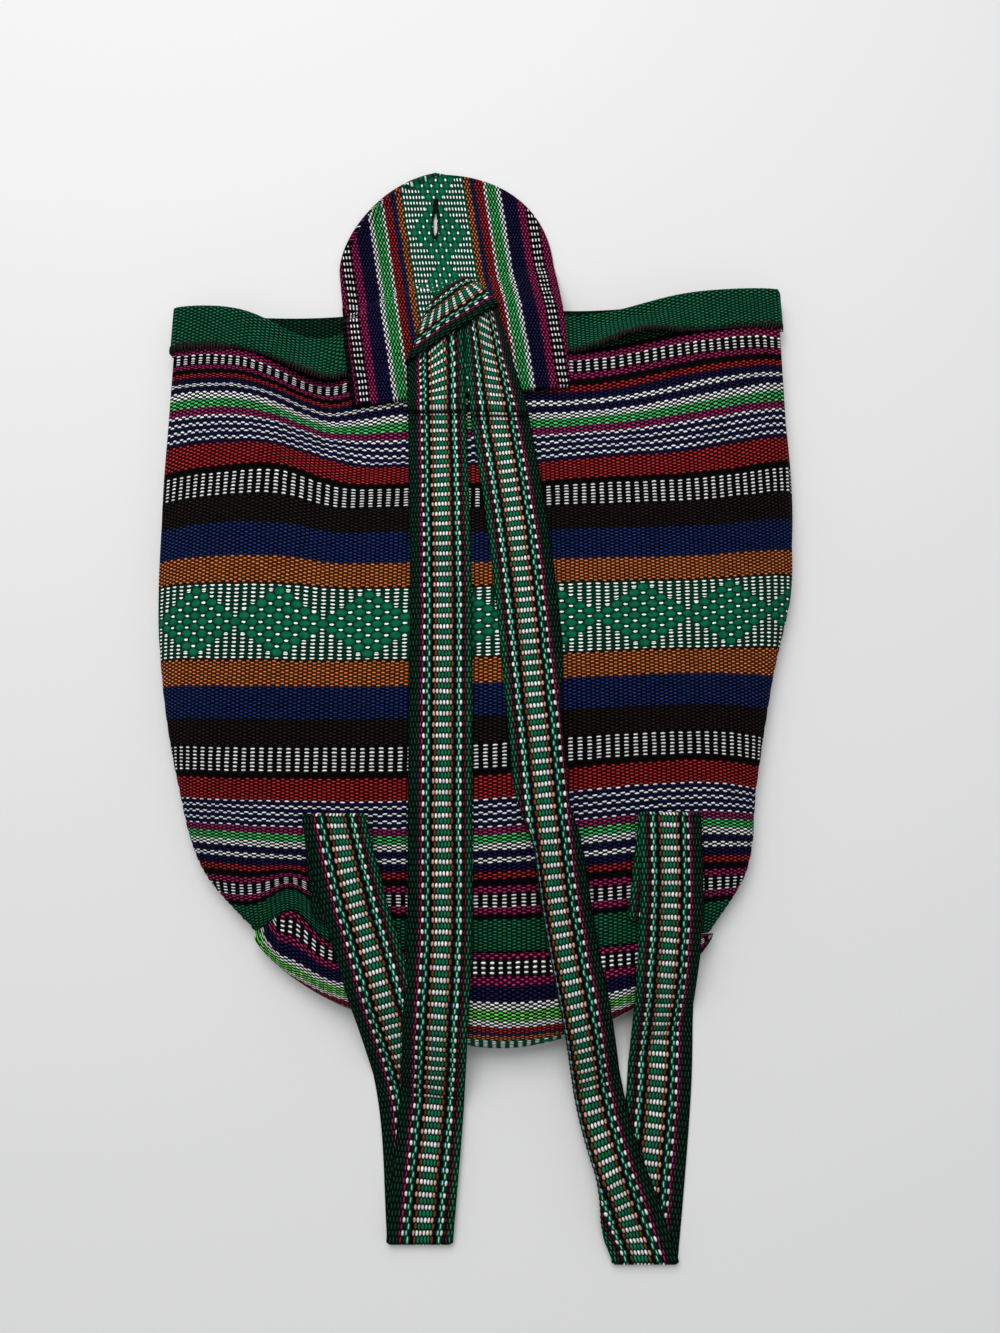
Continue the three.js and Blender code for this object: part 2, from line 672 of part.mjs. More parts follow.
// Thread sewn round the slit, lying on the flap
function slitStitching() {
  const outline = slotShape(SLIT_LENGTH + 2 * SLIT_STITCH_WIDTH, SLIT_WIDTH + 2 * SLIT_STITCH_WIDTH);
  outline.holes.push(slotShape(SLIT_LENGTH, SLIT_WIDTH));
  const geometry = new THREE.ExtrudeGeometry(outline, {
    depth: SLIT_STITCH_THICK,
    bevelEnabled: false,
    curveSegments: SLIT_SEGMENTS,
  });
  const lowerEnd = slitCentre.y - SLIT_LENGTH / 2 - SLIT_STITCH_WIDTH;
  const rest = draped(slitCentre.x, lowerEnd, FLAP_SLOPE);
  geometry.translate(slitCentre.x, slitCentre.y, rest + FLAP_CLOTH + CLEARANCE);
  return geometry;
}

// Overlocked edge: a flattened cord in the step under the cuff, all the way round the tube
function rimOverlock() {
  const cloth = UPPER_CLOTH - CUFF - OVERLOCK_GAP - OVERLOCK_WIDTH / 2;
  const base = ring(cloth, 0, 0);
  const rings = base.map((p, k) => {
    const along = base[(k + 1) % base.length].clone().sub(base.at(k - 1));
    const out = new THREE.Vector3(-along.z, 0, along.x).normalize();
    const centre = p.clone().addScaledVector(out, OVERLOCK_LIFT + OVERLOCK_THICK / 2);
    return Array.from({ length: OVERLOCK_SIDES }, (_, i) => {
      const angle = (2 * Math.PI * i) / OVERLOCK_SIDES;
      const made = centre.clone().addScaledVector(out, (OVERLOCK_THICK / 2) * Math.sin(angle));
      made.y += (OVERLOCK_WIDTH / 2) * Math.cos(angle);
      return made;
    });
  });
  return skin(rings, "loop", null);
}

function solid(geometry) {
  const bare = geometry.clone();
  ["normal", "uv", "color"].forEach((name) => bare.deleteAttribute(name));
  const merged = mergeVertices(bare, WELD);
  const vertProperties = merged.getAttribute("position").array;
  const triVerts = new Uint32Array(merged.index.array);
  return new wasm.Manifold(new wasm.Mesh({ numProp: 3, vertProperties, triVerts }));
}

function fromSolid(made) {
  const { vertProperties, triVerts } = made.getMesh();
  const geometry = new THREE.BufferGeometry();
  geometry.setAttribute("position", new THREE.Float32BufferAttribute(vertProperties, 3));
  geometry.setIndex(new THREE.BufferAttribute(triVerts, 1));
  geometry.computeVertexNormals();
  return geometry;
}

// Button: a turned disc with a raised rim and two holes, hanging by its thread under the lower wall
function button() {
  const r = BUTTON_DIAMETER / 2;
  const profile = [
    [0, BUTTON_DISH],
    [r - BUTTON_RIM, BUTTON_DISH],
    [r - BUTTON_RIM / 2, 0],
    [r - BUTTON_ROUND, BUTTON_ROUND / 2],
    [r, BUTTON_THICK / 2],
    [r - BUTTON_ROUND, BUTTON_THICK],
    [0, BUTTON_THICK],
  ].map(([x, y]) => new THREE.Vector2(x, y));
  const disc = new THREE.LatheGeometry(profile, BUTTON_SEGMENTS);
  disc.rotateX(Math.PI / 2);
  let made = solid(disc);
  for (const side of [-1, 1]) {
    const bore = BUTTON_HOLE / 2;
    const hole = new THREE.CylinderGeometry(bore, bore, 4 * BUTTON_THICK, HOLE_SEGMENTS);
    hole.rotateX(Math.PI / 2);
    hole.translate((side * BUTTON_HOLE_SPACING) / 2, 0, BUTTON_THICK / 2);
    made = made.subtract(solid(hole));
  }
  return fromSolid(made);
}

// Thread: a flat bridge in the button's dish, with a leg up through each hole to the cloth
function buttonThread() {
  const half = BUTTON_HOLE_SPACING / 2;
  const leg = THREAD_THICK / 2;
  const bridge = BUTTON_DISH - CLEARANCE;
  const top = buttonLift - 2 * CLEARANCE;
  const shape = new THREE.Shape();
  shape.moveTo(-half - leg, 0);
  shape.lineTo(half + leg, 0);
  shape.lineTo(half + leg, top);
  shape.lineTo(half - leg, top);
  shape.lineTo(half - leg, bridge);
  shape.lineTo(-half + leg, bridge);
  shape.lineTo(-half + leg, top);
  shape.lineTo(-half - leg, top);
  shape.closePath();
  const geometry = new THREE.ExtrudeGeometry(shape, { depth: THREAD_THICK, bevelEnabled: false });
  geometry.translate(0, 0, -THREAD_THICK / 2);
  geometry.rotateX(Math.PI / 2);
  return geometry;
}

const backpack = new THREE.Group();
backpack.add(mesh("body", body(), STRIPES_AS_WOVEN));
backpack.add(mesh("base_panel", basePanel(), BASE_COLOUR));
backpack.add(mesh("rim_overlock", rimOverlock(), THREAD_COLOUR));
backpack.add(mesh("flap", flap(), FLAP_COLOUR));
backpack.add(mesh("slit_stitching", slitStitching(), THREAD_COLOUR));
backpack.add(mesh("shoulder_strap", shoulderStrap(), STRAP_COLOUR));

const fastening = new THREE.Group();
fastening.position.set(BUTTON_AT[0], BUTTON_AT[1], CLEARANCE);
fastening.add(mesh("button", button(), BUTTON_COLOUR, BUTTON_ROUGHNESS));
fastening.add(mesh("button_thread", buttonThread(), THREAD_COLOUR));
backpack.add(fastening);

export default backpack;
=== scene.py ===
import math

import bpy
import numpy as np
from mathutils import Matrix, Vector


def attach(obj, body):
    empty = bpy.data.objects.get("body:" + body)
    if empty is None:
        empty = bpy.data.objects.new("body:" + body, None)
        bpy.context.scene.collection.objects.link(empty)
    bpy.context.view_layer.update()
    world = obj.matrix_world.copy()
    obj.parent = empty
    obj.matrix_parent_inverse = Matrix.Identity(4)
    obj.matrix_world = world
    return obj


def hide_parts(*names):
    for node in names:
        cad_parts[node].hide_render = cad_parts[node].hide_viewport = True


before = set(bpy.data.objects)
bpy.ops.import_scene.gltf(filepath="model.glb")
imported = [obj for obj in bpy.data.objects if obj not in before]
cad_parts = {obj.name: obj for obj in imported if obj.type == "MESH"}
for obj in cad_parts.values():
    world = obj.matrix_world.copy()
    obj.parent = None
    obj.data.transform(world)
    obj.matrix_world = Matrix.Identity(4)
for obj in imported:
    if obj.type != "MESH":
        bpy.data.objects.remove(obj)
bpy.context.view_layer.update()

MM = 0.001
TINY = 1e-6
SEED = 7
rng = np.random.default_rng(SEED)

# Body: a flattened tube of striped cloth. Lengths along the cloth count from the diamond stripe.
MIDDLE_Y = -11
LOWER_CLOTH = 185
UPPER_CLOTH = 187
CLOTH_SPREAD = 0.0004
SIDE_FOLD_Z = 9
NEAR_SIDE_RISE = 2
SIDE_FOLD_FROM = 0.62
SIDE_FOLD_POWER = 4
ARCH_POWER = 2.6
ARCH_ROUND = 0.6
CALM_POWER = 8
LEFT_EDGE = [(-185, 110), (-150, 143), (-100, 160), (-40, 173), (30, 181), (200, 185)]
RIGHT_EDGE = [(-185, 121), (-150, 144), (-100, 152), (-40, 164), (30, 181), (200, 184)]
CROWN = [(-185, 24), (-120, 34), (-30, 39), (60, 37), (130, 27), (187, 19)]
HALF_BODY = 184
RIM_LEVEL = 7.5
RIM_TILT = 6.5
RIM_DIPS = [(27.5, -95, 42), (20, 55, 70)]
FAR_RIM_DIPS = [(5, -100, 60), (6, 70, 60)]
CUFF_WAVES = [(-8, -78, 26), (6, 185, 45)]
FAR_CUFF_WAVES = [(6, 185, 45)]
CUFF_WAVE_REACH = 40
CLOTH_AT_TRIES = 6
SEAM_RISE = 9
SEAM_RISE_REACH = 120
WALL_WAVES = [(5, -128, 24), (-3, -88, 22), (3, 118, 30)]
CORNER_PUCKER = (15, -94, 14)
PUCKER_FROM = -130
# How far the stripes rise or sag across the body, at some heights along the cloth
STRIPE_SAG = {
    -185: [(-180, 0), (180, 0)],
    -91: [(-180, -1), (-120, -3.5), (0, -1), (84, 6.4), (125, 7.5), (160, 3)],
    0: [(-180, 4.5), (-120, 0), (-57, -3), (60, 1.5), (125, 6), (180, 13.5)],
    60: [(-180, 5), (-105, 4.5), (-75, -3), (-57, -4), (0, -5), (60, -2), (125, 1), (180, 11)],
    91: [(-180, 5), (-140, 6), (-105, 8), (-57, -12), (0, -12), (60, -5), (125, -2), (180, 10)],
    138: [(-180, 10), (-115, 8.5), (-97, 3), (-80, -4.5), (0, -4), (60, -1.7), (105, 0), (145, 5), (180, 10)],
    157: [(-180, 0.5), (-57, -1), (145, 0), (180, -1)],
    165: [(-180, 0), (180, 0)],
}
BUTTON_AT = (-12, 112)
BUTTON_LIFT = 4.4
BUTTON_REACH = (22, 58)
CUFF = 22
CUFF_THICK = 2.3
CUFF_LIFT_REACH = 40
CUFF_FOLD = 6
CLOTH = 2
CUFF_FLARE = [(6, -98, 20), (7, 92, 26)]
CUFF_CURL = [(5, 95, 26)]
CUFF_GAP = 0.4
RIM_ROUND = 2
RIM_TURNS = np.linspace(0.2, 0.8, 4) * np.pi
ROW_STEP = 1.8
UNDER_CUFF_ROWS = 8
CUFF_ROWS = 14
INSIDE_ROWS = 30
NEAR_COLUMNS = 150
UNDER_COLUMNS = 36
# Faces of the body, and how far along the stripes each of them starts. The inside starts so far along that
# its upper part takes the darker hem stripe, painted shade inside the mouth
OUTSIDE, UNDER_CUFF, CUFF_FACE, INSIDE = range(4)
STRIPE_SHIFT = (0, 0, CUFF, UPPER_CLOTH)

# Weave of the body: picks run up the wall, ends run round it
PICK = 2.45
END = 1
RIB = 0.32
# Half width and half height of a crest as shares of its cell, in plain stripes and in others
CREST_PLAIN = (0.86, 0.45)
CREST = (1.2, 0.5)
STRAP_CREST = (1, 0.85)
CREST_EDGE = 2.2
# Painted highlight on the crests of plain stripes: how much paler and brighter than the yarn they are
HIGHLIGHT_PALE = 0.95
HIGHLIGHT_GAIN = 1.7
# Painted shade in the gaps between floats: saturation of the darker yarn copy, and its brightness in plain
# stripes and in others
GAP_SHADE_SATURATION = 1.3
GAP_SHADE_PLAIN = 0.09
GAP_SHADE = 0.015
# Half width and half height of the diamonds' stitches, of the dashes beside them and of the dots among them
STITCH_HALF = (0.66, 0.33)
DASH_HALF = (0.27, 0.22)
DOT_HALF = (0.24, 0.09)
STITCH_ROUND = 0.75
WHITE_RELIEF = 0.65
GROUND_RELIEF = 0.2
# Slow wander of picks and ends, as scale of the noise and reach, and unevenness of the yarns' tone
PICK_WANDER = (160, 0.9)
END_WANDER = (95, 1.4)
TONE_LEAST = 0.6
TONE_YARN = 0.35
TONE_CLOTH = 0.3
TONE_CLOTH_SCALE = 30
BUMP_STRENGTH = 0.9
BODY_BUMP = 0.7
STRAP_BUMP = 1.1
FUZZ = 0.25
FUZZ_SCALE = 1800
CLOTH_ROUGH = 0.95
SPECULAR = 0.04
GRAIN_SCALE = 700

# Base: an oval folded along its middle
BASE_DEPTH = 46
BASE_POWER = 0.75
BASE_ROWS = 44
BASE_COLUMNS = 190
BASE_LEFT_SHARE = 0.82
BASE_SKEW = (-60, 30)
BASE_SEAM_STRIPE = 65
BASE_OUTLINE_STRIPE = 5
BASE_OUTLINE_RISE = 24
BASE_OUTLINE_REACH = 100
BASE_CORNER = (-97, -116)
BASE_CORNER_STRIPE = 32
SEAM_GAP = 0.6

# Overlock on the cuff's free edge
OVERLOCK_WIDTH = 4
OVERLOCK_THICK = 2.4
OVERLOCK_TURN = 1.9
OVERLOCK_STEP = 0.28
OVERLOCK_UNEVEN = (0.65, 1.3)
OVERLOCK_UNEVEN_EVERY = 7
OVERLOCK_CORE_EVERY = 4
OVERLOCK_WANDER = 4
OVERLOCK_DROP = 0.6
OVERLOCK_CORE = 1.15
OVERLOCK_THREAD = 0.42
# How thick the overlock shows along the rim, as a share of its full width
OVERLOCK_SHOWS = [
    (-190, 1.6), (-152, 1.35), (-143, 0.55), (-118, 0.5), (-106, 1), (-70, 1.1),
    (60, 1), (115, 1), (126, 0.6), (158, 0.6), (168, 1), (190, 1.5),
]

# Flap, from its sewn foot on the bag to its rounded tip on the floor
FLAP_FOOT = np.array([(-71, 118), (54, 131)])
FLAP_TIP = np.array((-27, 294))
FLAP_CLOTH = 2.4
FLAP_PICK = 2.15
FLAP_ROWS = 150
FLAP_COLUMNS = 90
FLAP_BULGE = 4
FLAP_ROUND_FROM = 0.6
FLAP_ROUND_LEFT = 1.6
FLAP_ROUND_RIGHT = 2.3
FLAP_TIP_WIDTH = 0.04
FLAP_STRIPE_LEAN = 6
FLAP_STRIPE_ASIDE = 2
FLAP_STRIPE_CLOSE = 0.07
FLAP_HEM = 5
FLAP_HEM_LIFT = 0.5
FLAP_HEM_FROM = 0.1
FLAP_BLACK_EDGE = 3
FLAP_BLACK_FROM = (0.5, 0.36)
FLAP_ROLL = 1.9
FLAP_ROLL_FROM = (0.7, 0.8)
ROLL_SHOWS = 3.5
ROLL_STRIPE = 5.6
ROLL_RUN = 1.41
# How steeply the flap falls to the floor, and how much less steeply on its right side
FLAP_SLOPE = 1
FLAP_GENTLE = 0.5
FLAP_GENTLE_AT = (-30, 45)
SLIT_AT = (-27, 258)
SLIT_LENGTH = 20
SLIT_WIDTH = 3
SLIT_STITCHES = 40
SLIT_STITCH = 1.4
SLIT_BAR = 8
SLIT_THREAD = 0.32
SLIT_UNEVEN = (0.8, 1.2)
SLIT_SLANT = 0.5

# Strap: one webbing that lies over the base, the body and the flap, and over itself
STRAP_WIDTH = 33
STRAP_THICK = 2
STRAP_SLOPE = 0.6
STRAP_PICK = 2.9
STRAP_END = 0.87
STRAP_STEP = STRAP_PICK / 3
STRAP_COLUMNS = 18
STRAP_ROUND = 0.14
PLAN_POINTS = 800
TURN_ROWS = 8
STRAP_RIB = 0.22
STRAP_UNEVEN = 0.12
CREASE_REACH = 34
DRAPE_CLEARANCE = 0.7
DRAPE_REACH = 60
DRAPE_STEP = 2
DRAPE_STIFF = 6
LAYER_PITCH = 2.8
TOP_FOLD_LIFT = 2.4
STRAP_SETTLE = 28
SEWN_AT = 125
SEWN_DEPTH = 0.7
SEWN_REACH = 1.6
# Width that stands up on each edge of the right leg, where it starts to and where it stops
TURNED_GREEN = 10
TURNED_GREEN_AT = ((-322, -285), (-135, -95))
TURNED_DARK = 7
TURNED_DARK_AT = ((-140, -105), (-65, -25))
TURNED_RUN = 0.18
TURNED_RISE = 0.8
LEFT_SIDE = {
    "seam": (-65, -166),
    "upper_fold": (-71, -116),
    "lower_run": [(-61, -155), (-47, -200), (-32, -256)],
    "bottom_fold": (-26, -320),
    "main_run": [(-21, -255), (-17, -180), (-17, -106), (-18, 10)],
    "top": (-22, 112),
    "crossing": -193,
}
RIGHT_SIDE = {
    "seam": (95, -166),
    "upper_fold": (101, -115),
    "lower_run": [(101, -160), (98, -205), (95, -250)],
    "bottom_fold": (85, -329),
    "main_run": [(64, -270), (54.5, -220), (42, -150), (33.5, -60), (24, 35)],
    "top": (13.5, 110),
    "crossing": -238,
}
# Creases of the double fold at the top
TOP_FOLD_LEFT = [(-40, 142), (-26, 186)]
TOP_FOLD_LEFT_UNDER = [(-40, 142), (-8, 184)]
TOP_FOLD_RIGHT = [(12, 181), (-9, 206)]

# Colours of yarns, threads, button and floor
GREEN = "0f7a51"
DEEP_GREEN = "082a1d"
ORANGE = "b4622f"
NAVY = "18295a"
BLUE_WHITE = "eceef4"
DASH_NAVY = "14174a"
BROWN = "201917"
BLACK = "0c0a0b"
WHITE = "fafaf8"
RED = "98151c"
MAGENTA = "8a1d56"
LIME = "34b85a"
BASE_LIME = "58ce50"
BASE_PALE = "9cea80"
PALE_LIME = "66d282"
PINK = "8f1852"
MAROON = "661936"
MINT = "74d8a8"
PEACH = "dcae80"
PEACH_DARK = "6e3c1e"
STRAP_EDGE = "123c2c"
STITCH_GREEN = "0a6244"
# Darker green at the stitches' edges: painted shade on their rounded form
STITCH_EDGE_SHADE = "053222"
GROUND_GREEN = "042a1b"
FLAP_GROUND = "063a27"
HEM_GREEN = "0e6242"
# Darker green for the hem's inside: painted shade inside the bag's mouth
HEM_INSIDE_SHADE = "0a3826"
DARK_BLUE = "19163f"
BLACK_THREAD = "161412"
# Lighter black for the overlock's wound loops: painted highlight
HIGHLIT_THREAD = "2a2725"
BUTTON_WOOD = "6b4a2f"
FLOOR_PAINT = "dcdcda"

# Stripes from the middle outwards: width, the two yarns and how they share the stripe
PLAIN, COLUMNS, PAIRS = range(3)
BODY_BAND = 19.6
FLAP_BAND = 20.6
BODY_STRIPES = [
    (BODY_BAND, GREEN, DEEP_GREEN, COLUMNS),
    (15, ORANGE, ORANGE, PLAIN),
    (17.3, NAVY, NAVY, PLAIN),
    (15, BROWN, BROWN, PLAIN),
    (15, WHITE, BLACK, COLUMNS),
    (3, BLACK, BLACK, PLAIN),
    (12.5, RED, RED, PLAIN),
    (17, BLUE_WHITE, DASH_NAVY, PAIRS),
    (4, MAGENTA, MAGENTA, PLAIN),
    (4.7, PALE_LIME, LIME, COLUMNS),
    (4, WHITE, WHITE, PAIRS),
    (3.2, DARK_BLUE, DARK_BLUE, PLAIN),
    (4, WHITE, WHITE, PAIRS),
    (4.8, DARK_BLUE, DARK_BLUE, PLAIN),
    (4, RED, RED, PLAIN),
    (3.5, BLACK, BLACK, PLAIN),
    (4.2, PINK, PINK, PLAIN),
    (8.7, WHITE, BLACK, COLUMNS),
    (4.2, PINK, PINK, PLAIN),
    (3, BLACK, BLACK, PLAIN),
    (60, HEM_GREEN, HEM_GREEN, PLAIN),
    # Painted shade: the hem's inside, darker than the hem
    (20, HEM_INSIDE_SHADE, HEM_INSIDE_SHADE, PLAIN),
]
FLAP_STRIPES = [
    (FLAP_BAND, GREEN, DEEP_GREEN, COLUMNS),
    (3.7, ORANGE, ORANGE, PLAIN),
    (3.1, NAVY, NAVY, PLAIN),
    (4.6, RED, RED, PLAIN),
    (2.6, WHITE, WHITE, PAIRS),
    (5.9, LIME, PALE_LIME, COLUMNS),
    (3, WHITE, WHITE, PAIRS),
    (8.8, DARK_BLUE, DARK_BLUE, PLAIN),
    (4.4, PINK, PINK, PLAIN),
    (7.1, WHITE, BLACK, COLUMNS),
    (11, PINK, PINK, PLAIN),
    (20, BLACK, BLACK, PLAIN),
]
# A place in the flap's last stripe, for its black edge
FLAP_BLACK = 85
BASE_STRIPES = [
    (FLAP_BAND, GREEN, DEEP_GREEN, COLUMNS),
    (3.3, ORANGE, ORANGE, PLAIN),
    (2.6, NAVY, NAVY, PLAIN),
    (4.2, RED, RED, PLAIN),
    (3.5, WHITE, WHITE, PAIRS),
    (6.4, BASE_LIME, BASE_PALE, COLUMNS),
    (3.5, WHITE, WHITE, PAIRS),
    (7, DARK_BLUE, DARK_BLUE, PLAIN),
    (3.6, PINK, PINK, PLAIN),
    (7.4, WHITE, BLACK, COLUMNS),
    (10, PINK, PINK, PLAIN),
    (20, BLACK, BLACK, PLAIN),
]
STRAP_STRIPES = [
    (5.2, STRAP_EDGE, STRAP_EDGE, PLAIN),
    (2, PINK, PINK, PLAIN),
    (1.6, WHITE, DEEP_GREEN, COLUMNS),
    (2.2, MINT, MINT, PLAIN),
    (1.5, DARK_BLUE, BLACK, COLUMNS),
    (1.8, PEACH, PEACH_DARK, COLUMNS),
    (7, WHITE, GREEN, COLUMNS),
    (1.7, PEACH, PEACH_DARK, COLUMNS),
    (1.4, DARK_BLUE, BLACK, COLUMNS),
    (2, MINT, MINT, PLAIN),
    (1.4, WHITE, DEEP_GREEN, COLUMNS),
    (1.9, MAROON, MAROON, PLAIN),
    (3.3, GREEN, GREEN, PLAIN),
]
# Diamonds: half the band, height of a stitch, columns in a diamond, first column and yarn of the ground
BODY_DIAMONDS = (BODY_BAND, 6.5, 10, 7, GROUND_GREEN)
FLAP_DIAMONDS = (FLAP_BAND, 6.2, 10, 7, FLAP_GROUND)


# Smooth curve through a few pairs of place and value, level beyond its ends
def through(pairs, at):
    places, values = np.array(pairs, float).T
    at = np.clip(at, places[0], places[-1])
    last = len(places) - 1
    before = np.maximum(np.arange(last + 1) - 1, 0)
    after = np.minimum(np.arange(last + 1) + 1, last)
    slopes = (values[after] - values[before]) / (places[after] - places[before])
    i = np.clip(np.searchsorted(places, at, side="right") - 1, 0, last - 1)
    width = places[i + 1] - places[i]
    t = (at - places[i]) / width
    start = values[i] * (2 * t**3 - 3 * t**2 + 1) + slopes[i] * width * (t**3 - 2 * t**2 + t)
    return start + values[i + 1] * (3 * t**2 - 2 * t**3) + slopes[i + 1] * width * (t**3 - t**2)


def bell(x, place, reach):
    return np.exp(-(((x - place) / reach) ** 2))


def bells(rows, x):
    return sum(height * bell(x, place, reach) for height, place, reach in rows)


def smooth(a, b, x):
    t = np.clip((x - a) / (b - a), 0, 1)
    return t * t * (3 - 2 * t)


# How far the cloth's ends lie off their level lines, at the rim and at the base seam
def end_wave(cloth, x, dips):
    lower = SEAM_RISE * np.minimum(x * x, HALF_BODY**2) / SEAM_RISE_REACH**2
    upper = RIM_LEVEL + RIM_TILT * x / HALF_BODY - bells(dips, x)
    return np.where(cloth < 0, lower, upper)


def bend(cloth, x, dips):
    end = np.where(cloth < 0, LOWER_CLOTH, UPPER_CLOTH)
    return CLOTH_SPREAD + end_wave(cloth, x, dips) / end**2


# How far the cloth next to the cuff's free edge is drawn up or down
def cuff_wave(cloth, x, waves):
    edge = UPPER_CLOTH - CUFF
    near = smooth(edge - CUFF_WAVE_REACH, edge, cloth) * (1 - smooth(edge, UPPER_CLOTH, cloth))
    return bells(waves, x) * near


def upper_y(cloth, x):
    gathered = bells([CORNER_PUCKER], x) * smooth(PUCKER_FROM, -LOWER_CLOTH, cloth)
    return MIDDLE_Y + cloth + bend(cloth, x, RIM_DIPS) * cloth**2 + gathered + cuff_wave(cloth, x, CUFF_WAVES)


def lower_y(cloth, x):
    return MIDDLE_Y + cloth + bend(cloth, x, FAR_RIM_DIPS) * cloth**2 + cuff_wave(cloth, x, FAR_CUFF_WAVES)


# Place along the cloth of the near wall over a point in plan
def cloth_at(x, y):
    cloth = y - MIDDLE_Y
    for _ in range(CLOTH_AT_TRIES):
        smoothed = y - MIDDLE_Y - cuff_wave(cloth, x, CUFF_WAVES)
        a = bend(smoothed, x, RIM_DIPS)
        cloth = (np.sqrt(np.maximum(1 + 4 * a * smoothed, 0)) - 1) / (2 * a)
    return cloth


def side_x(cloth, side):
    y = MIDDLE_Y + cloth + CLOTH_SPREAD * cloth**2
    return np.where(side < 0, -through(LEFT_EDGE, y), through(RIGHT_EDGE, y))


def upper_z(cloth, across, x):
    crown = through(CROWN, MIDDLE_Y + cloth + CLOTH_SPREAD * cloth**2)
    arch = np.maximum(1 - np.abs(across) ** ARCH_POWER, 0) ** ARCH_ROUND
    waves = bells(WALL_WAVES, x) * smooth(0, UPPER_CLOTH, cloth) * (1 - across**CALM_POWER)
    return SIDE_FOLD_Z + (crown - SIDE_FOLD_Z) * arch + waves


def lower_z(cloth, across, x):
    from_button = np.hypot(x - BUTTON_AT[0], lower_y(cloth, x) - BUTTON_AT[1])
    over_button = BUTTON_LIFT * (1 - smooth(*BUTTON_REACH, from_button))
    over_cuff = CUFF_THICK * smooth(UPPER_CLOTH - CUFF - CUFF_LIFT_REACH, UPPER_CLOTH - CUFF, cloth)
    rest = np.maximum(over_button, over_cuff)
    fold = (np.maximum(np.abs(across) - SIDE_FOLD_FROM, 0) / (1 - SIDE_FOLD_FROM)) ** SIDE_FOLD_POWER
    return rest + (SIDE_FOLD_Z - rest) * fold


def stripe_sag(cloth, x):
    heights = list(STRIPE_SAG)
    rows = [through(STRIPE_SAG[height], x) for height in heights]
    return np.array([np.interp(cloth, heights, column) for column in np.stack(rows, -1)])


# Half of the tube's section at one place along the cloth, from the top over a side fold to the bottom
def half_section(cloth, side, points=160):
    t = np.linspace(0, 1, points)
    across = np.concatenate([np.sin(np.pi / 2 * t), np.sin(np.pi / 2 * (1 - t[1:]))])
    x = across * side_x(cloth, side)
    upper = np.arange(len(across)) < points
    z = np.where(upper, upper_z(cloth, across, x), lower_z(cloth, across, x))
    y = np.where(upper, upper_y(cloth, x), lower_y(cloth, x))
    length = np.concatenate([[0], np.cumsum(np.hypot(np.diff(x), np.diff(z)))])
    return length, x, y, z


# One row of the body: columns at even steps over the near wall, and wider steps under it
def body_row(cloth):
    right_length, *right = half_section(cloth, 1)
    left_length, *left = half_section(cloth, -1)
    steps = np.arange(-NEAR_COLUMNS, NEAR_COLUMNS + 1)
    fine = steps * PICK / 2
    reach = fine[-1]
    under_right = np.linspace(reach, right_length[-1], UNDER_COLUMNS + 1)[1:]
    under_left = np.linspace(-left_length[-1], -reach, UNDER_COLUMNS + 1)[:-1]
    around = np.concatenate([under_left, fine, under_right])
    on_right = around >= 0
    places = [
        np.where(on_right, np.interp(around, right_length, r), np.interp(-around, left_length, l))
        for r, l in zip(right, left)
    ]
    points = np.stack(places, -1)
    along = np.gradient(points[:, [0, 2]], axis=0)
    along[[0, -1]] = [-1, 0]
    along /= np.linalg.norm(along, axis=1)[:, None]
    outward = np.stack([-along[:, 1], np.zeros(len(along)), along[:, 0]], -1)
    crest = np.zeros(len(around))
    crest[UNDER_COLUMNS:-UNDER_COLUMNS] = steps % 2
    return points, outward, around, crest


def mesh_object(name, vertices, faces, material, uv=None):
    mesh = bpy.data.meshes.new(name)
    mesh.from_pydata((np.asarray(vertices) * MM).tolist(), [], np.asarray(faces).tolist())
    mesh.polygons.foreach_set("use_smooth", np.ones(len(mesh.polygons), bool))
    if uv is not None:
        layer = mesh.uv_layers.new(name="cloth")
        layer.data.foreach_set("uv", np.asarray(uv, np.float32).ravel())
    mesh.materials.append(material)
    made = bpy.data.objects.new(name, mesh)
    bpy.context.scene.collection.objects.link(made)
    return made


# Quads over a grid of points. The cloth coordinates have one more row or column where the grid wraps.
def grid_faces(rows, columns, wrap_rows, wrap_columns):
    index = np.arange(rows * columns).reshape(rows, columns)
    if wrap_rows:
        index = np.vstack([index, index[:1]])
    if wrap_columns:
        index = np.hstack([index, index[:, :1]])
    corners = [index[:-1, :-1], index[:-1, 1:], index[1:, 1:], index[1:, :-1]]
    return np.stack(corners, -1).reshape(-1, 4)


def grid_uv(uv):
    corners = [uv[:-1, :-1], uv[:-1, 1:], uv[1:, 1:], uv[1:, :-1]]
    return np.stack(corners, -2).reshape(-1, 2)


def grid_object(name, points, uv, material, wrap_rows=False, wrap_columns=False):
    faces = grid_faces(points.shape[0], points.shape[1], wrap_rows, wrap_columns)
    return mesh_object(name, points.reshape(-1, 3), faces, material, grid_uv(uv))


# Share of the way down the cuff from its fold, and how far its edge curls up and flares out on the near side
def cuff_share(points, cloth):
    near = smooth(SIDE_FOLD_Z, SIDE_FOLD_Z + NEAR_SIDE_RISE, points[:, 2])
    return near * max((UPPER_CLOTH - CUFF_FOLD - cloth) / (CUFF - CUFF_FOLD), 0)


def curl(points, cloth):
    return bells(CUFF_CURL, points[:, 0]) * cuff_share(points, cloth)


def flare(points, cloth):
    return CUFF_GAP + bells(CUFF_FLARE, points[:, 0]) * cuff_share(points, cloth)


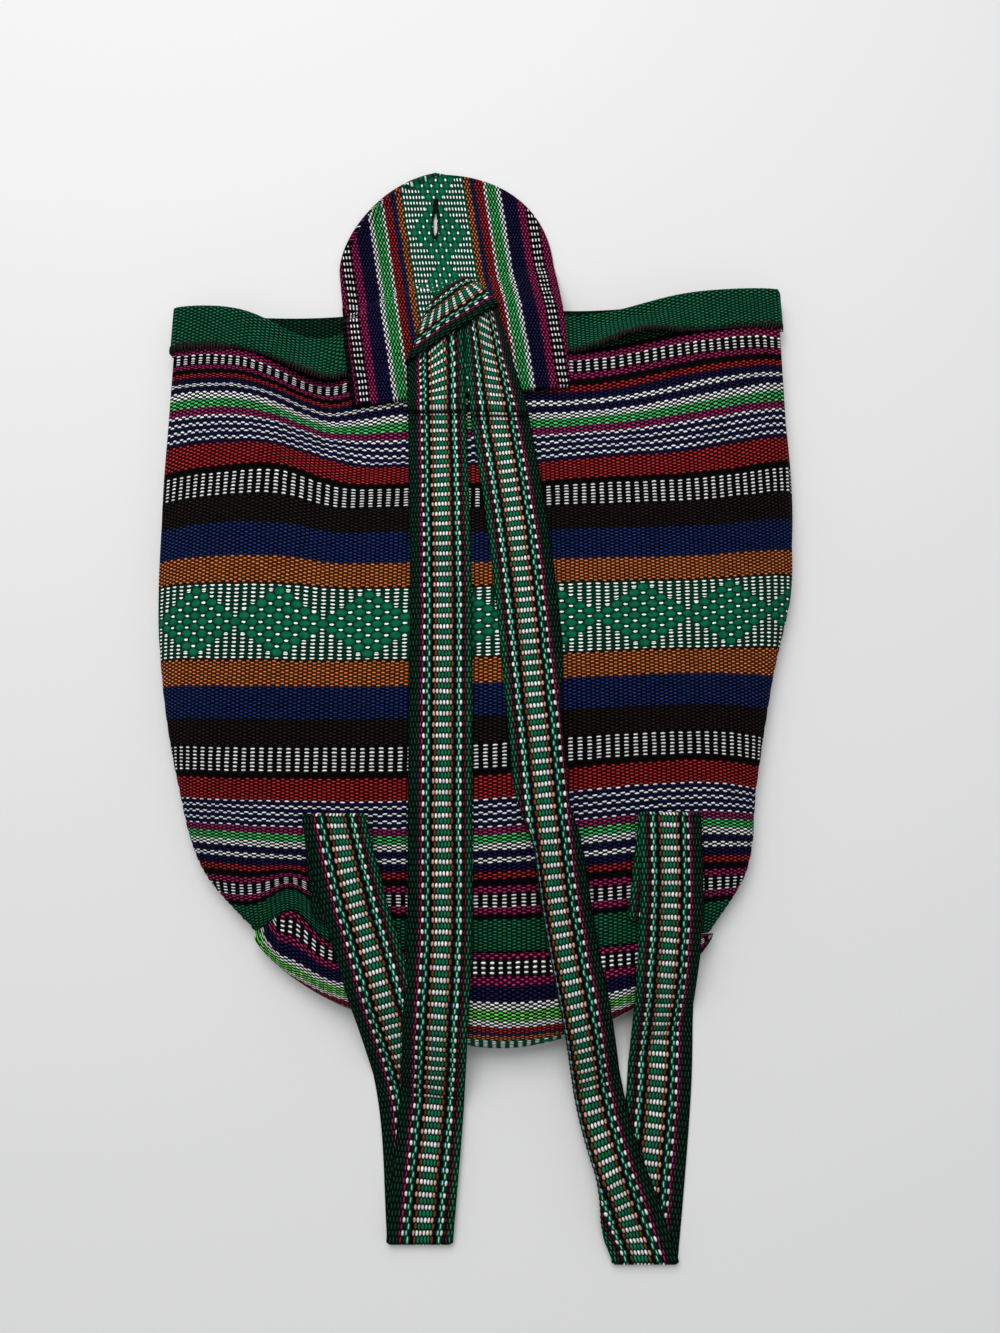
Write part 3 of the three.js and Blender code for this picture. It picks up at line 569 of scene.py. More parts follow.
# Rows of the body in order: up the outside, under the cuff, down and up the cuff, and down the inside
def body_object(material):
    rows, cloth_uv = [], []

    def place(cloth, offset, face):
        points, outward, around, crest = body_row(cloth)
        ribbed = RIB * crest * (face in (OUTSIDE, CUFF_FACE))
        out = offset(points) + ribbed
        if face in (UNDER_CUFF, CUFF_FACE):
            points[:, 1] += curl(points, cloth)
        rows.append((points + outward * out[:, None])[:-1])
        stripe = cloth + STRIPE_SHIFT[face] * (cloth > 0)
        sag = stripe_sag(cloth, points[:, 0]) * (face == OUTSIDE)
        cloth_uv.append(np.stack([around, stripe - sag], -1))

    fold = UPPER_CLOTH - CUFF_FOLD
    free_edge = UPPER_CLOTH - CUFF
    for cloth in np.arange(-LOWER_CLOTH, fold, ROW_STEP):
        place(cloth, lambda points: 0, OUTSIDE)
    for cloth in np.linspace(fold, free_edge, UNDER_CUFF_ROWS):
        place(cloth, lambda points: flare(points, cloth), UNDER_CUFF)
    for cloth in np.linspace(free_edge, UPPER_CLOTH, CUFF_ROWS):
        place(cloth, lambda points: flare(points, cloth) + CLOTH, CUFF_FACE)
    for turn in RIM_TURNS:
        round_over = CUFF_GAP / 2 + (CLOTH + CUFF_GAP / 2) * math.cos(turn)
        place(UPPER_CLOTH + RIM_ROUND * math.sin(turn), lambda points: round_over, CUFF_FACE)
    for cloth in np.linspace(UPPER_CLOTH, -LOWER_CLOTH, INSIDE_ROWS):
        place(cloth, lambda points: -CLOTH, INSIDE)
    points = np.stack(rows)
    uv = np.stack(cloth_uv)
    uv = np.concatenate([uv, uv[:1]])
    return grid_object("body_cloth", points, uv, material, wrap_rows=True, wrap_columns=True)


# A shader value that takes part in sums, so that a weave reads as arithmetic
class Wire:
    def __init__(self, tree, socket):
        self.tree = tree
        self.socket = socket

    def made(self, operation, *others):
        node = self.tree.nodes.new("ShaderNodeMath")
        node.operation = operation
        for slot, value in zip(node.inputs, (self, *others)):
            connect(self.tree, value, slot)
        return Wire(self.tree, node.outputs[0])

    def __add__(self, other):
        return self.made("ADD", other)

    def __sub__(self, other):
        return self.made("SUBTRACT", other)

    def __mul__(self, other):
        return self.made("MULTIPLY", other)

    def __truediv__(self, other):
        return self.made("DIVIDE", other)

    def __mod__(self, other):
        return self.made("FLOORED_MODULO", other)

    def __pow__(self, other):
        return self.made("POWER", other)

    def __lt__(self, other):
        return self.made("LESS_THAN", other)

    def __gt__(self, other):
        return self.made("GREATER_THAN", other)

    def __abs__(self):
        return self.made("ABSOLUTE")

    def floor(self):
        return self.made("FLOOR")

    def fraction(self):
        return self.made("FRACT")

    def clamped(self):
        return self.made("MINIMUM", 1.0).made("MAXIMUM", 0.0)


def connect(tree, value, slot):
    if isinstance(value, Wire):
        tree.links.new(value.socket, slot)
    else:
        slot.default_value = value


# Linear colour of an sRGB code
def linear(code):
    parts = [int(code[i : i + 2], 16) / 255 for i in (0, 2, 4)]
    return [p / 12.92 if p < 0.04045 else ((p + 0.055) / 1.055) ** 2.4 for p in parts] + [1]


def blended(tree, share, a, b, kind="MIX"):
    node = tree.nodes.new("ShaderNodeMix")
    node.data_type = "RGBA"
    node.blend_type = kind
    node.clamp_result = True
    connect(tree, share, node.inputs[0])
    connect(tree, a, node.inputs[6])
    connect(tree, b, node.inputs[7])
    return Wire(tree, node.outputs[2])


def tinted(tree, colour, saturation, value):
    node = tree.nodes.new("ShaderNodeHueSaturation")
    connect(tree, saturation, node.inputs["Saturation"])
    connect(tree, value, node.inputs["Value"])
    connect(tree, colour, node.inputs["Color"])
    return Wire(tree, node.outputs[0])


def shades(tree, level):
    grey = tree.nodes.new("ShaderNodeCombineColor")
    for slot in grey.inputs:
        connect(tree, level, slot)
    return Wire(tree, grey.outputs[0])


# Colour by place across the stripes
def stripe_ramp(tree, place, stripes, colours):
    total = sum(s[0] for s in stripes)
    node = tree.nodes.new("ShaderNodeValToRGB")
    node.color_ramp.interpolation = "CONSTANT"
    elements = node.color_ramp.elements
    while len(elements) < len(stripes):
        elements.new(1.0)
    at = 0
    for element, stripe, colour in zip(elements, stripes, colours):
        element.position = at / total
        element.color = colour
        at += stripe[0]
    connect(tree, place / total, node.inputs[0])
    return Wire(tree, node.outputs[0])


def new_material(name, roughness):
    material = bpy.data.materials.new(name)
    material.use_nodes = True
    shader = material.node_tree.nodes["Principled BSDF"]
    shader.inputs["Roughness"].default_value = roughness
    shader.inputs["Specular IOR Level"].default_value = SPECULAR
    return material, material.node_tree, shader


def noise(tree, scale):
    node = tree.nodes.new("ShaderNodeTexNoise")
    node.inputs["Scale"].default_value = scale
    place = tree.nodes.new("ShaderNodeTexCoord")
    tree.links.new(place.outputs["Object"], node.inputs["Vector"])
    return Wire(tree, node.outputs["Fac"])


def wander(tree, scale, reach):
    return (noise(tree, scale) - 0.5) * reach


def speckle(tree, *parts):
    joined = tree.nodes.new("ShaderNodeCombineXYZ")
    for slot, value in zip(joined.inputs, parts):
        connect(tree, value, slot)
    node = tree.nodes.new("ShaderNodeTexWhiteNoise")
    node.noise_dimensions = "2D"
    tree.links.new(joined.outputs[0], node.inputs["Vector"])
    return Wire(tree, node.outputs["Value"])


# Rows of small diamonds brocaded on a band round the middle: thick green stitches with white dashes between
def diamond_band(tree, u, v, pick, half, height, columns, offset, ground_yarn):
    column = (u / (2 * pick)).floor()
    inside = (u / (2 * pick)).fraction() - 0.5
    steps = columns / 2
    stitches = abs((column + offset) % columns - steps) * -1 + (steps + 1)
    row = v / height + (stitches - 1) / 2
    nearest = (row + 0.5).floor()
    off = abs(row - nearest)
    within = abs(v / height) < stitches / 2
    rounded = (off / STITCH_HALF[1]) ** 2 + (inside / STITCH_HALF[0]) ** 2
    beside = ((off - 0.5) / STITCH_HALF[1]) ** 2 + ((abs(inside) - 1) / STITCH_HALF[0]) ** 2
    rounded = rounded.made("MINIMUM", beside)
    stitch = (rounded < 1) * within
    dash_place = (v / (2 * END)).fraction() - 0.5
    dash = (inside / DASH_HALF[0]) ** 2 + (dash_place / DASH_HALF[1]) ** 2
    dot = (inside / DOT_HALF[0]) ** 2 + ((off - 0.5) / DOT_HALF[1]) ** 2
    white = (dash < 1) * (within * -1 + 1) + (dot < 1) * within
    ground = blended(tree, white, linear(ground_yarn), linear(WHITE))
    # Stitches darken towards their edges as painted shade
    green = blended(tree, (rounded**2).clamped(), linear(STITCH_GREEN), linear(STITCH_EDGE_SHADE))
    colour = blended(tree, stitch, ground, green)
    band = abs(v) < half
    ground_relief = white * WHITE_RELIEF + GROUND_RELIEF
    relief = stitch * (rounded * -STITCH_ROUND + 1) + (stitch * -1 + 1) * ground_relief
    return band, colour, relief


# Warp-faced cloth: at each pick every second end floats on top as a crest. The gaps between crests take a
# darker copy of the yarn, painted shade, and the crests of plain stripes a paler, brighter copy, painted
# highlight
def woven_material(name, stripes, pick, end, mirrored, diamonds=None, bump_mm=BODY_BUMP, crest_half=CREST):
    material, tree, shader = new_material(name, CLOTH_ROUGH)
    coordinates = tree.nodes.new("ShaderNodeUVMap")
    coordinates.uv_map = "cloth"
    split = tree.nodes.new("ShaderNodeSeparateXYZ")
    tree.links.new(coordinates.outputs[0], split.inputs[0])
    u = Wire(tree, split.outputs[0]) + wander(tree, *PICK_WANDER)
    v = Wire(tree, split.outputs[1]) + wander(tree, *END_WANDER)
    column = (u / pick).floor()
    parity = column % 2
    pair = (v / end + parity) / 2
    thread = pair.floor() * 2 - parity
    middle = (thread + 1) * end
    place = abs(middle) if mirrored else middle
    first = stripe_ramp(tree, place, stripes, [linear(s[1]) for s in stripes])
    second = stripe_ramp(tree, place, stripes, [linear(s[2]) for s in stripes])
    in_pairs = stripe_ramp(tree, place, stripes, [[s[3] == PAIRS] * 4 for s in stripes])
    plain = stripe_ramp(tree, place, stripes, [[s[3] == PLAIN] * 4 for s in stripes])
    second_pair = (thread % 4) > 1.5
    use_second = parity + in_pairs * (second_pair - parity)
    yarn = blended(tree, use_second, first, second)
    half_width, half_height = [plain * (p - other) + other for p, other in zip(CREST_PLAIN, crest_half)]
    across = abs((u / pick).fraction() * 2 - 1) / half_width
    along = abs(pair.fraction() * 2 - 1) / half_height
    relief = (across**2 * -1 + 1 - along**2).clamped()
    crest = (relief * CREST_EDGE).clamped()
    # Painted shade in the gaps and painted highlight on the crests of plain stripes: darker and lighter
    # copies of the yarn
    painted_gap_shade = tinted(tree, yarn, GAP_SHADE_SATURATION, plain * (GAP_SHADE_PLAIN - GAP_SHADE) + GAP_SHADE)
    painted_highlight = tinted(tree, yarn, plain * (HIGHLIGHT_PALE - 1) + 1, plain * (HIGHLIGHT_GAIN - 1) + 1)
    colour = blended(tree, crest, painted_gap_shade, painted_highlight)
    if diamonds:
        band, motif, motif_relief = diamond_band(tree, u, v, pick, *diamonds)
        colour = blended(tree, band, colour, motif)
        relief = relief + band * (motif_relief - relief)
    cloth_tone = noise(tree, TONE_CLOTH_SCALE) * TONE_CLOTH
    tone = speckle(tree, thread, column) * TONE_YARN + cloth_tone + TONE_LEAST
    colour = blended(tree, 1.0, colour, shades(tree, tone), "MULTIPLY")
    connect(tree, colour, shader.inputs["Base Color"])
    bump = tree.nodes.new("ShaderNodeBump")
    bump.inputs["Strength"].default_value = BUMP_STRENGTH
    bump.inputs["Distance"].default_value = bump_mm * MM
    connect(tree, relief + noise(tree, FUZZ_SCALE) * FUZZ, bump.inputs["Height"])
    tree.links.new(bump.outputs[0], shader.inputs["Normal"])
    return material


def plain_material(name, code, roughness, variation=0.3):
    material, tree, shader = new_material(name, roughness)
    tone = noise(tree, GRAIN_SCALE) * variation + (1 - variation / 2)
    colour = blended(tree, 1.0, linear(code), shades(tree, tone), "MULTIPLY")
    connect(tree, colour, shader.inputs["Base Color"])
    return material


# Height of what lies under the straps and the flap
def support(x, y):
    cloth = cloth_at(x, y)
    held = np.clip(cloth, -LOWER_CLOTH, UPPER_CLOTH)
    side = side_x(held, np.where(x < 0, -1, 1))
    across = np.minimum(np.abs(x / side), 1)
    flared = bells(CUFF_FLARE, x) * smooth(UPPER_CLOTH - CUFF_FOLD, UPPER_CLOTH - CUFF, cloth)
    cuff = np.where(cloth > UPPER_CLOTH - CUFF - OVERLOCK_WIDTH, CUFF_THICK + flared, 0)
    wall = upper_z(held, across, x) + cuff
    level = np.full_like(x, -LOWER_CLOTH, float)
    seam = upper_y(level, x)
    outline = lower_y(level, x) - base_depth(x)
    share = np.clip((seam - y) / np.maximum(seam - outline, TINY), 0, 1)
    top = upper_z(level, across, x)
    middle = (top + lower_z(level, across, x)) / 2
    base = np.where(share < 1, middle + (top - middle) * np.sqrt(1 - share**2), 0)
    height = np.where(cloth >= -LOWER_CLOTH, wall, base)
    rim = np.full_like(x, UPPER_CLOTH, float)
    far_rim = np.where(y < lower_y(rim, x), lower_z(rim, across, x) + CLOTH, 0)
    height = np.where(cloth > UPPER_CLOTH, far_rim, height)
    return np.where(np.abs(x / side) >= 1, 0, height)


# Height of cloth laid over that, which bridges hollows and falls off at a slope
def draped(x, y, slope):
    height = np.zeros_like(x, float)
    for off in np.arange(-DRAPE_REACH, DRAPE_REACH + 1, DRAPE_STEP):
        fall = slope * max(abs(off) - DRAPE_STIFF, 0)
        height = np.maximum(height, support(x, y + off) - fall)
    return height


def base_depth(x):
    reach = side_x(np.full_like(x, -LOWER_CLOTH, float), np.where(x < 0, -1, 1))
    skew = BASE_LEFT_SHARE + (1 - BASE_LEFT_SHARE) * smooth(*BASE_SKEW, x)
    return BASE_DEPTH * skew * np.maximum(1 - (x / reach) ** 2, 0) ** BASE_POWER


# Base: from the upper seam round the fold to the lower seam. Its stripes run along the fold.
def base_object(material):
    cloth = -LOWER_CLOTH
    across = np.sin(np.pi / 2 * np.linspace(-1, 1, BASE_COLUMNS))
    x = across * np.where(across < 0, -side_x(cloth, -1), side_x(cloth, 1))
    level = np.full_like(x, cloth)
    top, under = upper_z(level, across, x), lower_z(level, across, x)
    middle = (top + under) / 2
    outline_stripe = BASE_OUTLINE_STRIPE + BASE_OUTLINE_RISE * (x / BASE_OUTLINE_REACH) ** 2
    rows, uv = [], []
    for turn in np.linspace(0, np.pi, BASE_ROWS):
        share = abs(1 - 2 * turn / np.pi)
        seam = upper_y(level, x) if turn < np.pi / 2 else lower_y(level, x)
        outline = lower_y(level, x) - base_depth(x)
        y = seam + (outline - seam) * np.sin(turn) - SEAM_GAP
        z = np.maximum(middle + (top - middle) * np.cos(turn), CLOTH)
        seam_stripe = BASE_SEAM_STRIPE - BASE_CORNER_STRIPE * smooth(*BASE_CORNER, x)
        stripe = outline_stripe + (seam_stripe - outline_stripe) * share
        if turn > np.pi / 2:
            stripe = outline_stripe - (BASE_SEAM_STRIPE + outline_stripe) * share * base_depth(x) / BASE_DEPTH
        rows.append(np.stack([x, y, z], -1))
        uv.append(np.stack([x, stripe], -1))
    made = grid_object("base_cloth", np.stack(rows), np.stack(uv), material)
    thicken(made, CLOTH)
    return made


# Thickness inwards from the face that is shown
def thicken(piece, thick):
    solid = piece.modifiers.new("thickness", "SOLIDIFY")
    solid.thickness = thick * MM
    solid.offset = -1


def flap_half_width(share, power):
    foot = (FLAP_FOOT[1, 0] - FLAP_FOOT[0, 0]) / 2
    straight = foot + FLAP_BULGE * np.sin(np.pi / 2 * np.minimum(share / FLAP_ROUND_FROM, 1))
    rounded = np.maximum(share - FLAP_ROUND_FROM, 0) / (1 - FLAP_ROUND_FROM)
    taper = np.maximum(1 - rounded**power, 0) ** (1 / power)
    return straight * np.maximum(taper, FLAP_TIP_WIDTH)


# Flap: rows from its foot to its tip, with an open slit, a black edge on the left and a rolled hem above it
def flap_object(material):
    foot = FLAP_FOOT.mean(0)
    share = np.sin(np.pi / 2 * np.linspace(0, 1, FLAP_ROWS))[:, None]
    across = np.linspace(-1, 1, FLAP_COLUMNS)[None, :]
    left, right = flap_half_width(share, FLAP_ROUND_LEFT), flap_half_width(share, FLAP_ROUND_RIGHT)
    half = np.where(across < 0, left, right)
    aside = across * half
    slope = (FLAP_FOOT[1, 1] - FLAP_FOOT[0, 1]) / (FLAP_FOOT[1, 0] - FLAP_FOOT[0, 0])
    x = foot[0] + (FLAP_TIP[0] - foot[0]) * share + aside
    y = foot[1] + (FLAP_TIP[1] - foot[1]) * share + aside * slope * (1 - share)
    under = draped(x, y, FLAP_SLOPE - FLAP_GENTLE * smooth(*FLAP_GENTLE_AT, x))
    z = under + np.minimum(under, DRAPE_CLEARANCE) + FLAP_CLOTH
    from_edge = half * (1 - np.abs(across))
    rolled = FLAP_ROLL * smooth(*FLAP_ROLL_FROM, share) * (across < 0)
    hem_round = np.sqrt(1 - np.clip(1 - from_edge / FLAP_HEM, 0, 1) ** 2)
    hem = hem_round * smooth(FLAP_HEM * 2, FLAP_HEM, from_edge)
    z = z + (FLAP_HEM_LIFT * (share > FLAP_HEM_FROM) + rolled) * hem
    points = np.stack([x, y, z], -1)
    stripe = aside * (1 + FLAP_STRIPE_CLOSE * (1 - share)) + FLAP_STRIPE_LEAN * share - FLAP_STRIPE_ASIDE
    black = FLAP_BLACK_EDGE * smooth(*FLAP_BLACK_FROM, share) * (across < 0)
    uv = np.stack([y, stripe], -1)
    slot = ((x - SLIT_AT[0]) / SLIT_WIDTH * 2) ** 2 + ((y - SLIT_AT[1]) / SLIT_LENGTH * 2) ** 2
    faces = grid_faces(*x.shape, False, False)
    keep = slot.ravel()[faces].mean(1) > 1
    uv = grid_uv(uv).reshape(-1, 4, 2)
    in_black = (black - from_edge).ravel()[faces].mean(1) > 0
    uv[in_black, :, 1] = -FLAP_BLACK
    in_roll = (ROLL_SHOWS * (rolled > 0) - from_edge).ravel()[faces].mean(1) > 0
    uv[in_roll, :, 1] = ROLL_STRIPE + ROLL_RUN * (FLAP_TIP[1] - uv[in_roll, :, 0])
    uv = uv[keep]
    made = mesh_object("flap_cloth", points.reshape(-1, 3), faces[keep], material, uv)
    thicken(made, FLAP_CLOTH)
    return made


# Strap: rulings in order along the webbing, each a row of points from its dark edge to its green edge
def plan_curve(points):
    points = np.array(points, float)
    knots = np.concatenate([[0], np.cumsum(np.linalg.norm(np.diff(points, axis=0), axis=1))])
    fine = np.linspace(0, knots[-1], PLAN_POINTS)
    line = np.stack([through(list(zip(knots, points[:, i])), fine) for i in (0, 1)], -1)
    length = np.concatenate([[0], np.cumsum(np.linalg.norm(np.diff(line, axis=0), axis=1))])
    even = np.linspace(0, length[-1], round(length[-1] / STRAP_STEP))
    centre = np.stack([np.interp(even, length, line[:, i]) for i in (0, 1)], -1)
    return even, centre


# One straight or curved run, draped over what lies under it. Near a crease its rulings turn level.
def strap_run(plan, level, lift):
    even, centre = plan_curve(plan)
    along = np.gradient(centre, axis=0)
    along /= np.linalg.norm(along, axis=1)[:, None]
    across = np.stack([along[:, 1], -along[:, 0]], -1)
    near = np.maximum(1 - smooth(0, CREASE_REACH, even), 1 - smooth(0, CREASE_REACH, even[-1] - even))
    across += (np.array([level, 0]) - across) * near[:, None]
    across /= np.linalg.norm(across, axis=1)[:, None]
    side = np.linspace(-0.5, 0.5, STRAP_COLUMNS + 1) * STRAP_WIDTH
    xy = centre[:, None] + across[:, None] * side[None, :, None]
    x, y = xy[..., 0], xy[..., 1]
    under = draped(x, y, STRAP_SLOPE)
    z = under + np.minimum(under, DRAPE_CLEARANCE) + STRAP_THICK / 2 + lift(y)
    return np.stack([x, y, z], -1)


# Hairpin fold between two rulings
def half_turn(last, following, outward):
    radius = np.abs(following[:, 2] - last[:, 2]) / 2
    middle = (following[:, 2] + last[:, 2]) / 2
    turned = []
    for angle in np.linspace(0, np.pi, TURN_ROWS)[1:-1]:
        row = last + (following - last) * angle / np.pi + np.outer(radius * math.sin(angle), outward)
        row[:, 2] = middle + (last[:, 2] - middle) * math.cos(angle)
        turned.append(row)
    return np.stack(turned)


# One leg: from the base seam up to a fold, down to the floor, and up to the top
def strap_side(side):
    settled = side["seam"][1] - STRAP_SETTLE
    first = strap_run([side["seam"], side["upper_fold"]], 1, lambda y: 0 * y)
    lower_plan = [side["upper_fold"], *side["lower_run"], side["bottom_fold"]]
    lower = strap_run(lower_plan, -1, lambda y: LAYER_PITCH * smooth(settled - STRAP_SETTLE, settled, y))
    crossing = side["crossing"]
    main_plan = [side["bottom_fold"], *side["main_run"], side["top"]]
    main = strap_run(main_plan, 1, lambda y: LAYER_PITCH * (1 - smooth(crossing, crossing + STRAP_SETTLE, y)))
    lower = lower[:, ::-1]
    up = np.array([0, 1, 0])
    turn_up = half_turn(first[-1], lower[0], up)
    turn_down = half_turn(lower[-1], main[0], -up)
    return np.concatenate([first, turn_up, lower, turn_down, main])


# Double fold at the top that takes the webbing from one leg to the other
def top_fold(left_top, right_top):
    over_flap = FLAP_CLOTH + DRAPE_CLEARANCE + TOP_FOLD_LIFT + STRAP_THICK / 2

    def height(x, y):
        return draped(x, y, STRAP_SLOPE) + over_flap

    def ruling(crease, lift):
        a, b = np.array(crease, float)
        xy = a + (b - a) * np.linspace(0, 1, STRAP_COLUMNS + 1)[:, None]
        return np.column_stack([xy, height(xy[:, 0], xy[:, 1]) + lift])

    def between(start, stop, lift):
        count = round(np.linalg.norm(start.mean(0) - stop.mean(0)) / STRAP_STEP)
        share = np.linspace(0, 1, count + 2)[1:-1, None, None]
        rows = start + (stop - start) * share
        rows[..., 2] = np.maximum(rows[..., 2], height(rows[..., 0], rows[..., 1]) + lift)
        return rows

    def square(crease):
        (ax, ay), (bx, by) = crease
        away = np.array([ay - by, bx - ax, 0], float)
        return away / np.linalg.norm(away)

    left_low, left_high = ruling(TOP_FOLD_LEFT_UNDER, 0), ruling(TOP_FOLD_LEFT, LAYER_PITCH)
    right_high, right_low = ruling(TOP_FOLD_RIGHT, LAYER_PITCH), ruling(TOP_FOLD_RIGHT, 0)
    return np.concatenate([
        between(left_top, left_low, 0),
        left_low[None],
        half_turn(left_low, left_high, square(TOP_FOLD_LEFT)),
        left_high[None],
        between(left_high, right_high, LAYER_PITCH),
        right_high[None],
        half_turn(right_high, right_low, -square(TOP_FOLD_RIGHT)),
        right_low[None],
        between(right_low, right_top, 0),
    ])


# The right leg is twisted: it stands on its green edge low down and on its dark edge higher up
def stand_on_edges(leg):
    y = leg[:, STRAP_COLUMNS // 2, 1]
    unit = (leg[:, -1] - leg[:, 0]) / STRAP_WIDTH * [1, 1, 0]
    from_dark = np.linspace(0, STRAP_WIDTH, STRAP_COLUMNS + 1)
    for turned, first, last, from_edge, inward in [
        (TURNED_GREEN, *TURNED_GREEN_AT, STRAP_WIDTH - from_dark, -1),
        (TURNED_DARK, *TURNED_DARK_AT, from_dark, 1),
    ]:
        deep = np.maximum(turned * smooth(*first, y) * (1 - smooth(*last, y)), TINY)[:, None]
        rise = np.minimum(from_edge / deep, (STRAP_WIDTH - from_edge) / (STRAP_WIDTH - deep))
        shift = inward * (1 - TURNED_RUN) * np.maximum(deep - from_edge, 0)
        leg += unit[:, None] * shift[..., None]
        leg[..., 2] += TURNED_RISE * deep * rise


def strap_object(material):
    left = strap_side(LEFT_SIDE)
    right = strap_side(RIGHT_SIDE)[::-1, ::-1]
    stand_on_edges(right[: right[:, 0, 1].argmin()])
    rulings = np.concatenate([left, top_fold(left[-1], right[0]), right])
    centre = rulings[:, STRAP_COLUMNS // 2]
    length = np.concatenate([[0], np.cumsum(np.linalg.norm(np.diff(centre, axis=0), axis=1))])
    along = np.gradient(centre, axis=0)[:, None]
    across = np.gradient(rulings, axis=1)
    normal = np.cross(across, along)
    normal /= np.linalg.norm(normal, axis=2)[..., None]
    side = np.linspace(-1, 1, STRAP_COLUMNS + 1)
    edge = np.sqrt(1 - np.clip((np.abs(side) - 1) / STRAP_ROUND + 1, 0, 1) ** 2)
    rib = STRAP_RIB * np.cos(2 * np.pi * length / STRAP_PICK)[:, None]
    rib = rib - SEWN_DEPTH * bell(rulings[..., 1], SEWN_AT, SEWN_REACH)
    half = ((STRAP_THICK / 2 + rib) * edge[None, :])[..., None]
    over = rulings + normal * half
    below = (rulings - normal * half)[:, ::-1]
    points = np.concatenate([over, below[:, 1:-1]], axis=1)
    place = (side + 1) / 2 * STRAP_WIDTH
    ring = np.concatenate([place, place[::-1][1:]])
    woven = length - STRAP_UNEVEN * np.cos(np.pi * length / STRAP_PICK)
    uv = np.stack(np.broadcast_arrays(woven[:, None], ring[None, :]), -1)
    return grid_object("strap_webbing", points, uv, material, wrap_columns=True)


# Round cord along a line
def cord_tube(points, radius, sides=6):
    points = np.asarray(points, float)
    along = np.gradient(points, axis=0)
    along /= np.linalg.norm(along, axis=1)[:, None]
    helper = np.where(np.abs(along[:, 2:3]) > 0.9, [[1.0, 0, 0]], [[0, 0, 1.0]])
    first = np.cross(along, helper)
    first /= np.linalg.norm(first, axis=1)[:, None]
    second = np.cross(along, first)
    angle = np.linspace(0, 2 * np.pi, sides, endpoint=False)
    radius = np.broadcast_to(radius, len(points))[:, None, None]
    ring = first[:, None] * np.cos(angle)[:, None] + second[:, None] * np.sin(angle)[:, None]
    vertices = (points[:, None] + ring * radius).reshape(-1, 3)
    faces = grid_faces(len(points), sides, False, True)
    return vertices, faces


# Cords as one piece. Those after the first may take a second material, which the overlock uses for a painted
# highlight on its wound loops.
def joined_cords(name, cords, material, other_material=None):
    vertices, faces, start = [], [], 0
    for v, f in cords:
        vertices.append(v)
        faces.append(f + start)
        start += len(v)
    made = mesh_object(name, np.concatenate(vertices), np.concatenate(faces), material)
    if other_material:
        made.data.materials.append(other_material)
        yarn = np.arange(len(made.data.polygons)) >= len(faces[0])
        made.data.polygons.foreach_set("material_index", yarn.astype(np.int32))
    return made


# Overlock: thread wound over the cuff's free edge, thicker where it turns at the side folds. The wound loops
# are lighter than the core, a painted highlight
def overlock_object(material, loop_material):
    points, outward, around, _ = body_row(UPPER_CLOTH - CUFF)
    points, outward, around = points[:-1], outward[:-1], around[:-1]
    edge = points + outward * (flare(points, UPPER_CLOTH - CUFF) + CLOTH / 2)[:, None]
    edge[:, 1] += curl(points, UPPER_CLOTH - CUFF) - OVERLOCK_DROP
    turns = np.arange(around[0], around[-1], OVERLOCK_STEP)
    core = np.stack([np.interp(turns, around, edge[:, i]) for i in range(3)], -1)
    out = np.stack([np.interp(turns, around, outward[:, i]) for i in range(3)], -1)
    thick = through(OVERLOCK_SHOWS, core[:, 0])
    known = turns[::OVERLOCK_UNEVEN_EVERY]
    uneven = np.interp(turns, known, rng.uniform(*OVERLOCK_UNEVEN, len(known)))
    phase = 2 * np.pi * turns / OVERLOCK_TURN + OVERLOCK_WANDER * uneven
    up = np.array([0, 1, 0])
    side = (OVERLOCK_THICK / 2 * thick * uneven * np.cos(phase))[:, None]
    along = (OVERLOCK_WIDTH / 2 * thick * uneven * np.sin(phase))[:, None]
    wound = core + out * side + up * along
    wound[:, 2] = np.maximum(wound[:, 2], OVERLOCK_THREAD)
    coarse = slice(None, None, OVERLOCK_CORE_EVERY)
    cords = [cord_tube(core[coarse], OVERLOCK_CORE * thick[coarse]), cord_tube(wound, OVERLOCK_THREAD)]
    return joined_cords("rim_thread", cords, material, loop_material)


# Stitches laid square to the slit, all the way round it, and a bar of longer ones over its upper end
def slit_object(material):
    cords = []
    top = FLAP_CLOTH + FLAP_HEM_LIFT
    least, most = SLIT_UNEVEN

    def stitch(start, away):
        middle, stop = start + away / 2, start + away
        line = [(*start, top / 2), (*start, top), (*middle, top + SLIT_THREAD), (*stop, top)]
        cords.append(cord_tube(line, SLIT_THREAD))

    for angle in np.linspace(0, 2 * np.pi, SLIT_STITCHES, endpoint=False):
        out = np.array([math.cos(angle), math.sin(angle)])
        edge = np.array(SLIT_AT) + out * np.array([SLIT_WIDTH, SLIT_LENGTH]) / 2
        stitch(edge, out * SLIT_STITCH * rng.uniform(least, most))
    upper_end = SLIT_AT[1] + SLIT_LENGTH / 2
    for rise in np.arange(0, SLIT_BAR, 2 * SLIT_THREAD):
        left = rng.uniform(-most, -least) * SLIT_WIDTH / 2
        slant = rng.uniform(-SLIT_SLANT, SLIT_SLANT)
        stitch(np.array([SLIT_AT[0] + left, upper_end + rise]), np.array([SLIT_WIDTH, slant]))
    return joined_cords("slit_thread", cords, material)


